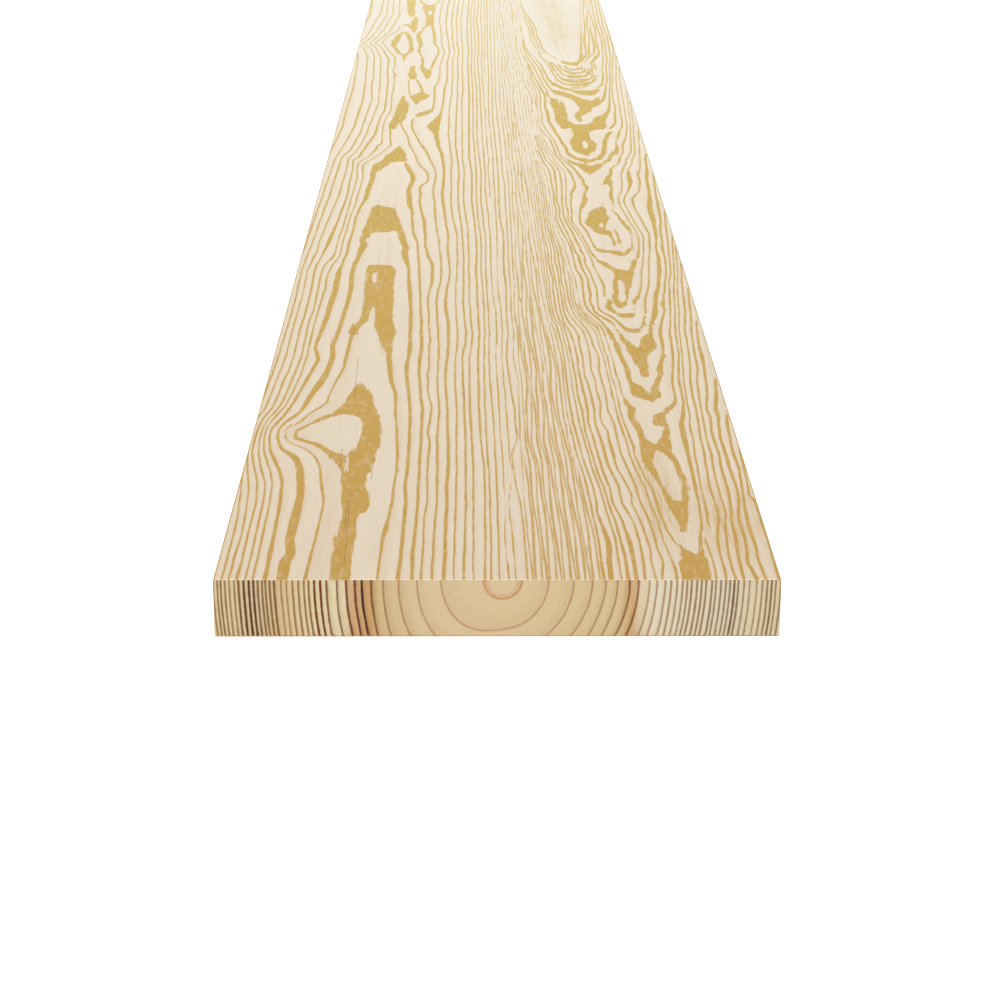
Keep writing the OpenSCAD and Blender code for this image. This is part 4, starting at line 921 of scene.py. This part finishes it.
def build_board(name):
    """The board as one closed mesh: its section carried along the length, and a grid on each end.
    The first and last sections are drawn in by END_BREAK, which breaks the sharp end edge."""
    runs = section_loop()
    loop = np.concatenate(runs)
    cuts = np.cumsum([len(run) for run in runs])[:-1]
    end, cut = LENGTH / MM, END_BREAK / MM
    stations = np.concatenate([[0, cut], along_board()[1:-1], [end - cut, end]])
    middle = np.array([0, THICK / 2])
    drawn = 1 - END_BREAK / np.array([WIDTH / 2, THICK / 2])
    body = np.empty((len(stations), len(loop), 3))
    body[:, :, 1] = (LOW.y + stations * MM)[:, None]
    body[:, :, [0, 2]] = loop
    for end in (0, -1):
        body[end][:, [0, 2]] = middle + (loop - middle) * drawn
    ring = np.arange(body.shape[0] * body.shape[1]).reshape(body.shape[:2])
    skin = np.concatenate([ring, ring[:, :1]], 1)
    faces = quads(skin[:, ::-1]).tolist()
    strip = np.tile(np.arange(len(loop))[::-1], len(stations) - 1)
    kind = np.where(strip < len(runs[0]) - 1, FACE, EDGE)
    points = [body.reshape(-1, 3)]
    for end, toward in ((0, -1), (-1, 1)):
        top, right = np.split(body[end], cuts)[:2]
        inner = np.empty((WALL_ROWS, TOP_COLUMNS, 3))
        inner[:, :, 0] = top[:, 0]
        inner[:, :, 1] = top[0, 1]
        inner[:, :, 2] = right[BEND:BEND + WALL_ROWS, 2, None]
        start = sum(len(p) for p in points)
        numbers = np.arange(start, start + WALL_ROWS * TOP_COLUMNS).reshape(WALL_ROWS, TOP_COLUMNS)
        cap = end_grid(np.split(ring[end], cuts), numbers, toward)
        faces += cap
        kind = np.concatenate([kind, np.full(len(cap), END)])
        points.append(inner.reshape(-1, 3))
    points = np.concatenate(points)
    mesh = bpy.data.meshes.new(name)
    mesh.from_pydata(points.tolist(), [], faces)
    mesh.polygons.foreach_set("material_index", kind.astype(np.int32))
    mesh.polygons.foreach_set("use_smooth", np.ones(len(faces), bool))
    mesh.set_sharp_from_angle(angle=math.radians(35))
    lay_out(mesh, kind)
    put_attribute(mesh, "sawn_lines", sawn_lines(points))
    draw_top(mesh, stations, runs[0][:, 0] / MM, ring[:, :len(runs[0])], len(points))
    board = bpy.data.objects.new(name, mesh)
    bpy.context.scene.collection.objects.link(board)
    return board


def draw_top(mesh, rows, x, face, total):
    """Stores the traced lines and the figure of the top face. rows and x are the places of its
    points in mm, face holds their numbers and total counts all points of the mesh. traced_lines is
    the ring count, the gap and the half width. figure is the distance to the patches, the distance
    to the eyes and the strength of the stains. Both are empty away from the top."""
    traced = np.zeros((total, 3))
    figure = np.tile([FAR, FAR, 0.0], (total, 1))
    centre, half = line_table(GRAIN_LINES, rows)
    shape = (len(rows), len(x), centre.shape[1])
    centre, half = np.broadcast_to(centre[:, None], shape), np.broadcast_to(half[:, None], shape)
    traced[face] = line_values(np.broadcast_to(x, shape[:2]), centre, half)
    patches = PATCHES + [patch for arc in THIN_ARCS for patch in thin_arc(*arc)]
    figure[face, 0] = np.minimum(patch_distance(patches, rows, x), arc_distance(rows, x))
    figure[face, 1] = patch_distance(EYES, rows, x)
    figure[face, 2] = soft_patches(STAINS, rows, x)
    put_attribute(mesh, "traced_lines", traced)
    put_attribute(mesh, "figure", figure)


def lay_out(mesh, kind):
    """Lays the faces flat on the bake map, one band for each side of the board. The top takes most
    of it, spread across its width, where the grain lines are close."""
    corner = np.empty(len(mesh.loops), np.int32)
    mesh.loops.foreach_get("vertex_index", corner)
    place = np.empty(len(mesh.vertices) * 3)
    mesh.vertices.foreach_get("co", place)
    place = place.reshape(-1, 3)[corner]
    sizes = np.empty(len(mesh.polygons), np.int32)
    mesh.polygons.foreach_get("loop_total", sizes)
    normal = np.empty(len(mesh.polygons) * 3)
    mesh.polygons.foreach_get("normal", normal)
    facing = np.repeat(normal.reshape(-1, 3), sizes, axis=0)
    kinds = np.repeat(kind, sizes)
    across, along, up = ((place - np.array(LOW)) / (np.array(HIGH) - np.array(LOW))).T
    is_top = kinds == FACE
    is_end = kinds == END
    wall = ~is_top & ~is_end & (np.abs(facing[:, 0]) > 0.5)
    turned = np.where(wall, along, across)
    over = np.where(wall | is_end, up, along)
    band = np.select([is_top, is_end & (facing[:, 1] < 0), is_end, wall & (facing[:, 0] < 0), wall],
                     [0, 2, 3, 4, 5], 1)
    low, tall = np.transpose(BAKE_BANDS)[:, band]
    uv = np.stack([BAKE_MARGIN + (1 - 2 * BAKE_MARGIN) * turned, low + tall * over], 1)
    layer = mesh.uv_layers.new(name="OFBake")
    layer.data.foreach_set("uv", uv.astype(np.float32).ravel())


def from_srgb(red, green, blue):
    """A colour of 0 to 255 as linear light, by the two-part sRGB curve."""
    light = np.array([red, green, blue]) / 255
    curve = np.where(light <= 0.04045, light / 12.92, ((light + 0.055) / 1.055) ** 2.4)
    return (*curve.tolist(), 1.0)


class Sheet:
    """A node tree with short calls for adding nodes and joining their sockets."""

    def __init__(self, tree):
        self.tree = tree

    def node(self, kind, settings=(), **inputs):
        """Adds a node. An input is i and its number, or its name with _ for each space."""
        made = self.tree.nodes.new(kind)
        for key, value in settings:
            setattr(made, key, value)
        for key, value in inputs.items():
            name = int(key[1:]) if key[1:].isdigit() else key.replace("_", " ")
            self.fill(made.inputs[name], value)
        return made

    def fill(self, socket, value):
        """Joins an input socket to another node's output, or sets it to a constant."""
        if isinstance(value, bpy.types.NodeSocket):
            self.tree.links.new(value, socket)
        else:
            socket.default_value = value

    def math(self, operation, a, b=0.0, c=0.0):
        made = self.node("ShaderNodeMath", [("operation", operation)], i0=a, i1=b, i2=c)
        return made.outputs[0]

    def ramp(self, value, low, high, start=0.0, end=1.0):
        """Smooth step of a value from low to high, giving start to end."""
        made = self.node("ShaderNodeMapRange", [("interpolation_type", "SMOOTHSTEP")],
                         i0=value, i1=low, i2=high, i3=start, i4=end)
        return made.outputs[0]

    def noise(self, at, scale, stretch=(1, 1, 1), detail=2.0, rough=0.5):
        """Noise at a place, drawn out along each axis by one over its stretch."""
        place = self.node("ShaderNodeMapping", i0=at, i3=stretch).outputs[0]
        made = self.node("ShaderNodeTexNoise", i0=place, Scale=scale, Detail=detail, Roughness=rough)
        return made.outputs[0]

    def mix(self, share, first, second):
        """The first colour or value with a share of the second mixed in."""
        made = self.node("ShaderNodeMix", [("data_type", "RGBA")], i0=share, i6=first, i7=second)
        return made.outputs[2]

    def stored(self, name):
        return self.node("ShaderNodeAttribute", [("attribute_name", name)]).outputs["Vector"]

    def split(self, vector):
        return self.node("ShaderNodeSeparateXYZ", i0=vector).outputs

    def joined(self, a, b, c=0.0):
        return self.node("ShaderNodeCombineXYZ", i0=a, i1=b, i2=c).outputs[0]

    def placed(self, group, **inputs):
        """Places a node group and gives its outputs."""
        return self.node("ShaderNodeGroup", [("node_tree", group)], **inputs).outputs


def new_group(name, inputs, outputs):
    """A node group with named sockets, as a Sheet, and its inputs' values."""
    group = bpy.data.node_groups.new(name, "ShaderNodeTree")
    for in_out, sockets in (("INPUT", inputs), ("OUTPUT", outputs)):
        for label, kind in sockets:
            group.interface.new_socket(label, in_out=in_out, socket_type="NodeSocket" + kind)
    sheet = Sheet(group)
    return group, sheet, sheet.node("NodeGroupInput").outputs


def latewood_group():
    """Where the dark latewood lies. The distance to the nearest line is the part of the ring count
    from its nearest whole number, times the gap, less the half width. Patches add to the lines and
    eyes cut them back. Slow noise sways the lines, and noise drawn out along the board frays them."""
    group, sheet, given = new_group(
        "latewood",
        [("Lines", "Vector"), ("Figure", "Vector"), ("Place", "Vector"),
         ("Fray", "Float"), ("Soft", "Float")],
        [("Late", "Float"), ("Count", "Float")])
    count, gap, half = sheet.split(given["Lines"])[:3]
    patch, eye, _ = sheet.split(given["Figure"])[:3]
    sway = sheet.math("SUBTRACT", sheet.noise(given["Place"], 55, (1, 0.5, 1), 3.0, 0.55), 0.5)
    swing = sheet.math("MINIMUM", sheet.math("DIVIDE", 1.3, gap), 0.3)
    moved = sheet.math("MULTIPLY_ADD", sway, swing, count)
    part = sheet.math("FRACT", sheet.math("ADD", moved, 0.5))
    away = sheet.math("ABSOLUTE", sheet.math("SUBTRACT", part, 0.5))
    line = sheet.math("SUBTRACT", sheet.math("MULTIPLY", away, gap), half)
    fibre = sheet.noise(given["Place"], 1500, (1, 0.05, 1), 3.0, 0.6)
    broad = sheet.noise(given["Place"], 330, (1, 0.12, 1), 2.0)
    rough = sheet.math("ADD", sheet.math("SUBTRACT", fibre, 0.5), sheet.math("SUBTRACT", broad, 0.5))
    line = sheet.math("MULTIPLY_ADD", rough, given["Fray"], line)
    ragged = sheet.math("MULTIPLY", rough, 3.4)
    near = sheet.math("MINIMUM", line, sheet.math("ADD", patch, ragged))
    near = sheet.math("MAXIMUM", near, sheet.math("SUBTRACT", ragged, eye))
    late = sheet.ramp(sheet.math("DIVIDE", near, given["Soft"]), 1.0, -1.0)
    sheet.node("NodeGroupOutput", Late=late, Count=moved)
    return group


def planed_wood_group():
    """What both planed materials share: the pale and the golden colour, lighter towards the far
    end by painted light, and fine streaks drawn out along the board."""
    group, sheet, given = new_group(
        "planed_wood", [("Place", "Vector")], [("Pale", "Color"), ("Gold", "Color"), ("Streak", "Float")])
    along = sheet.math("SUBTRACT", sheet.split(given["Place"])[1], LOW.y)
    share = sheet.math("DIVIDE", along, LENGTH)
    streak = sheet.noise(given["Place"], 900, (1, 0.035, 1), 3.0, 0.6)
    pale, gold = colour_along(sheet, share, EARLYWOOD_AND_PAINTED_LIGHT), colour_along(sheet, share, LATEWOOD_AND_PAINTED_LIGHT)
    sheet.node("NodeGroupOutput", Pale=pale, Gold=gold, Streak=streak)
    return group


def new_material(name):
    """An empty node material, as a Sheet, and its output node."""
    material = bpy.data.materials.new(name)
    material.use_nodes = True
    material.node_tree.nodes.clear()
    sheet = Sheet(material.node_tree)
    return material, sheet, sheet.node("ShaderNodeOutputMaterial")


def colour_along(sheet, share, stops):
    """A colour that changes with a share of a length, through (place, colour) stops."""
    made = sheet.node("ShaderNodeValToRGB", Fac=share)
    points = made.color_ramp.elements
    points[0].position, points[0].color = stops[0][0], from_srgb(*stops[0][1])
    points[1].position, points[1].color = stops[-1][0], from_srgb(*stops[-1][1])
    for place, colour in stops[1:-1]:
        points.new(place).color = from_srgb(*colour)
    return made.outputs["Color"]


def dull_surface(sheet, output, colour, roughness, height, strength):
    """Matt wood: little gloss, and a fine relief from a height between 0 and 1."""
    bump = sheet.node("ShaderNodeBump", Height=height, Strength=strength, Distance=RELIEF).outputs[0]
    shader = sheet.node("ShaderNodeBsdfPrincipled", Base_Color=colour, Roughness=roughness,
                        Specular_IOR_Level=GLOSS, Normal=bump)
    sheet.fill(output.inputs["Surface"], shader.outputs[0])


def hair_checks(sheet, x, y):
    """Where fine drying checks show as dark hairs. Each runs straight from one (along, across) in
    mm to another and fades out HAIR to each side of its middle. It is drawn where its distances
    along and across are both inside."""
    total = 0.0
    for (y0, x0), (y1, x1) in CHECKS:
        slope = (x1 - x0) / (y1 - y0)
        centre = sheet.math("MULTIPLY_ADD", sheet.math("SUBTRACT", y, LOW.y + y0 * MM), slope, x0 * MM)
        away = sheet.math("ABSOLUTE", sheet.math("SUBTRACT", x, centre))
        side = sheet.ramp(away, HAIR * MM, HAIR * MM / 3)
        reach = sheet.math("ABSOLUTE", sheet.math("SUBTRACT", y, LOW.y + (y0 + y1) / 2 * MM))
        inside = sheet.ramp(reach, (y1 - y0) / 2 * MM, (y1 - y0) / 3 * MM)
        total = sheet.math("MULTIPLY_ADD", side, inside, total)
    return total


def planed_material(latewood, planed_wood):
    """Planed face: pale earlywood and golden latewood lines. The pale wood darkens a little on the
    outer side of each line, in streaks and where it is stained, and the golden wood is mottled."""
    material, sheet, output = new_material("planed_face")
    place = sheet.node("ShaderNodeTexCoord").outputs["Object"]
    x, y, _ = sheet.split(place)[:3]
    lines, figure = sheet.stored("traced_lines"), sheet.stored("figure")
    late, count = sheet.placed(latewood, Lines=lines, Figure=figure, Place=place, Fray=0.65, Soft=0.27)[:2]
    pale, gold, streak = sheet.placed(planed_wood, Place=place)[:3]
    cloud = sheet.noise(place, 60, (1, 0.25, 1), 2.0)
    shade = sheet.math("ADD", sheet.math("MULTIPLY", streak, 0.7), sheet.math("MULTIPLY", cloud, 0.3))
    shade = sheet.math("MULTIPLY", sheet.ramp(shade, 0.35, 0.7), IN_STREAKS)
    part = sheet.math("FRACT", count)
    part = sheet.mix(sheet.math("LESS_THAN", x, 0.01), part, sheet.math("SUBTRACT", 1.0, part))
    tan = sheet.math("MULTIPLY_ADD", sheet.ramp(part, 0.4, 1.0), BESIDE_LINES, shade)
    stain = sheet.math("MULTIPLY", sheet.split(figure)[2], sheet.ramp(streak, 0.35, 0.6, 0.25, 1.0))
    pale = sheet.mix(sheet.math("ADD", tan, stain), pale, gold)
    mottle = sheet.ramp(sheet.noise(place, 420, (1, 0.3, 1), 3.0, 0.65), 0.45, 0.75, 0.0, MOTTLED)
    gold = sheet.mix(mottle, gold, pale)
    fine = sheet.math("MULTIPLY", sheet.math("GREATER_THAN", count, FINE[0][0] - 0.5),
                      sheet.math("LESS_THAN", count, FINE[0][1] + 0.5))
    fainter = sheet.math("SUBTRACT", 1.0, sheet.math("MULTIPLY", fine, FINE_FAINTER))
    colour = sheet.mix(sheet.math("MULTIPLY", late, fainter), pale, gold)
    hairs = sheet.math("MULTIPLY", hair_checks(sheet, x, y), CRACK_STRENGTH)
    colour = sheet.mix(hairs, colour, from_srgb(*HAIR_COLOUR))
    height = sheet.math("ADD", sheet.math("MULTIPLY", late, 0.5), sheet.math("MULTIPLY", streak, 0.5))
    dull_surface(sheet, output, colour, sheet.ramp(late, 0, 1, 0.7, 0.6), height, 0.2)
    return material


def edge_material(latewood, planed_wood):
    """Sides and underside, planed too, with the rings cut along their length. The rounded top
    edges are golden."""
    material, sheet, output = new_material("planed_edge")
    place = sheet.node("ShaderNodeTexCoord").outputs["Object"]
    count, gap, strength = sheet.split(sheet.stored("sawn_lines"))[:3]
    lines = sheet.joined(count, gap, sheet.math("MULTIPLY", strength, END_HALF))
    late = sheet.placed(latewood, Lines=lines, Figure=(FAR, FAR, 0), Place=place, Fray=0.6, Soft=0.3)[0]
    pale, gold, streak = sheet.placed(planed_wood, Place=place)[:3]
    base = sheet.mix(sheet.math("MULTIPLY", streak, 0.3), pale, gold)
    colour = sheet.mix(sheet.math("MULTIPLY", late, 0.85), base, gold)
    rim = sheet.ramp(sheet.split(place)[2], THICK - EDGE_ROUND, THICK - EDGE_ROUND / 2, 0.0, 0.9)
    colour = sheet.mix(rim, colour, from_srgb(*RIM))
    dull_surface(sheet, output, colour, 0.65, streak, 0.2)
    return material


def end_material(latewood):
    """Sawn end: rings in the body of the board, darker and redder in places. The wood darkens
    towards the outside of each ring, and faint rays run out from the middle of the top edge."""
    material, sheet, output = new_material("sawn_end")
    place = sheet.node("ShaderNodeTexCoord").outputs["Object"]
    x, _, z = sheet.split(place)[:3]
    share = sheet.math("MULTIPLY_ADD", x, 1 / WIDTH, 0.5)
    count, gap, strength = sheet.split(sheet.stored("sawn_lines"))[:3]
    half = sheet.math("MULTIPLY_ADD", strength, END_HALF * 0.45, END_HALF * 0.55)
    lines = sheet.joined(count, gap, half)
    late, moved = sheet.placed(latewood, Lines=lines, Figure=(FAR, FAR, 0), Place=place,
                               Fray=0.3, Soft=0.3)[:2]
    pale, dark = [colour_along(sheet, share, [(0.5 + at * MM / WIDTH, colour) for at, colour in stops])
                  for stops in (END_PALE, END_DARK)]
    angle = sheet.math("ARCTAN2", sheet.math("SUBTRACT", THICK, z), x)
    polar = sheet.joined(sheet.math("MULTIPLY", angle, 0.5), count)
    rays = sheet.node("ShaderNodeTexNoise", i0=polar, Scale=60.0, Detail=1.0).outputs[0]
    fleck = sheet.noise(place, 1700, (1, 1, 1), 3.0, 0.7)
    before = sheet.ramp(sheet.math("FRACT", moved), 0.35, 1.0)
    tan = sheet.math("MULTIPLY", sheet.math("MULTIPLY", before, strength), INSIDE_RINGS)
    tan = sheet.math("ADD", tan, sheet.math("MULTIPLY", sheet.ramp(fleck, 0.42, 0.8), IN_FLECKS))
    tan = sheet.math("ADD", tan, sheet.math("MULTIPLY", sheet.ramp(rays, 0.5, 0.8), IN_RAYS))
    colour = sheet.mix(tan, pale, dark)
    heart = sheet.ramp(sheet.math("ABSOLUTE", sheet.math("ADD", moved, 0.12)), 0.25, 0.05, 0.0, 0.5)
    colour = sheet.mix(sheet.math("MULTIPLY", heart, fleck), colour, from_srgb(*END_RIM))
    drawn = sheet.math("MULTIPLY", late, sheet.math("MULTIPLY_ADD", strength, 0.5, 0.5))
    colour = sheet.mix(drawn, colour, dark)
    colour = sheet.mix(sheet.ramp(z, 0.9 * MM, 0.4 * MM, 0.0, 0.8), colour, from_srgb(*END_RIM))
    dull_surface(sheet, output, colour, 0.8, fleck, 0.25)
    return material


def seen_rays(sheet):
    """One for what the camera sees, straight on, in a glossy surface or through a clear one."""
    rays = sheet.node("ShaderNodeLightPath").outputs
    seen = sheet.math("MAXIMUM", rays["Is Camera Ray"], rays["Is Glossy Ray"])
    return sheet.math("MAXIMUM", seen, rays["Is Transmission Ray"])


def white_floor():
    """Wide pale floor just under the board. It takes the board's shadow, and what the camera and
    glossy surfaces see of it has light added, so that it reads as white."""
    mesh = bpy.data.meshes.new("floor")
    low, high = -FLOOR_HALF, FLOOR_HALF
    corners = [(low, low), (high, low), (high, high), (low, high)]
    mesh.from_pydata([(x, y, LOW.z - FLOOR_GAP) for x, y in corners], [], [(0, 1, 2, 3)])
    floor = bpy.data.objects.new("floor", mesh)
    bpy.context.scene.collection.objects.link(floor)
    material, sheet, output = new_material("pale_floor")
    matt = sheet.node("ShaderNodeBsdfDiffuse", Color=(0.8, 0.8, 0.8, 1)).outputs[0]
    glow = sheet.node("ShaderNodeEmission", Strength=seen_rays(sheet)).outputs[0]
    both = sheet.node("ShaderNodeAddShader", i0=matt, i1=glow).outputs[0]
    sheet.fill(output.inputs["Surface"], both)
    mesh.materials.append(material)


def studio_light():
    """Even white room light, and one large soft lamp above and in front of the board. What the
    camera sees of the room is brighter than the light it gives, and reads as white."""
    world = bpy.data.worlds.new("studio")
    world.use_nodes = True
    world.node_tree.nodes.clear()
    sheet = Sheet(world.node_tree)
    strength = sheet.math("MULTIPLY_ADD", seen_rays(sheet), 1 - ROOM_LIGHT, ROOM_LIGHT)
    room = sheet.node("ShaderNodeBackground", Color=(1, 1, 1, 1), Strength=strength).outputs[0]
    sheet.node("ShaderNodeOutputWorld", Surface=room)
    bpy.context.scene.world = world
    lamp = bpy.data.lights.new("soft_box", "AREA")
    lamp.shape = "RECTANGLE"
    lamp.size = LAMP_SIDE
    lamp.size_y = LAMP_SIDE
    lamp.energy = LAMP_POWER
    stand = bpy.data.objects.new("soft_box", lamp)
    stand.location = LAMP_PLACE
    stand.rotation_euler = (Vector((0, 0, 0)) - stand.location).to_track_quat("-Z", "Y").to_euler()
    bpy.context.scene.collection.objects.link(stand)


def photo_camera():
    """The photograph's view: in front of the near end and above it, looking along the board and
    down. The three directions are worked out from the heading, the dip and the roll."""
    heading, dip, roll = CAMERA_TURN
    ahead = Vector((math.sin(heading) * math.cos(dip), math.cos(heading) * math.cos(dip), -math.sin(dip)))
    right = Vector((math.cos(heading), -math.sin(heading), 0))
    up = right.cross(ahead)
    right_rolled = math.cos(roll) * right + math.sin(roll) * up
    up_rolled = math.cos(roll) * up - math.sin(roll) * right
    turn = Matrix((right_rolled, up_rolled, -ahead)).transposed().to_4x4()
    view = bpy.data.cameras.new("photo_view")
    view.sensor_width = CAMERA_SENSOR
    view.lens = CAMERA_LENS
    view.clip_start = 0.01
    view.clip_end = 200.0
    camera = bpy.data.objects.new("photo_view", view)
    camera.matrix_world = Matrix.Translation(CAMERA_PLACE) @ turn
    bpy.context.scene.collection.objects.link(camera)
    bpy.context.scene.camera = camera


bpy.context.scene.view_settings.view_transform = "Standard"
photo_camera()
white_floor()
studio_light()

board = build_board("board")
latewood = latewood_group()
planed_wood = planed_wood_group()
for material in (planed_material(latewood, planed_wood), edge_material(latewood, planed_wood),
                 end_material(latewood)):
    board.data.materials.append(material)
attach(board, "root")
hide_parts("plank")
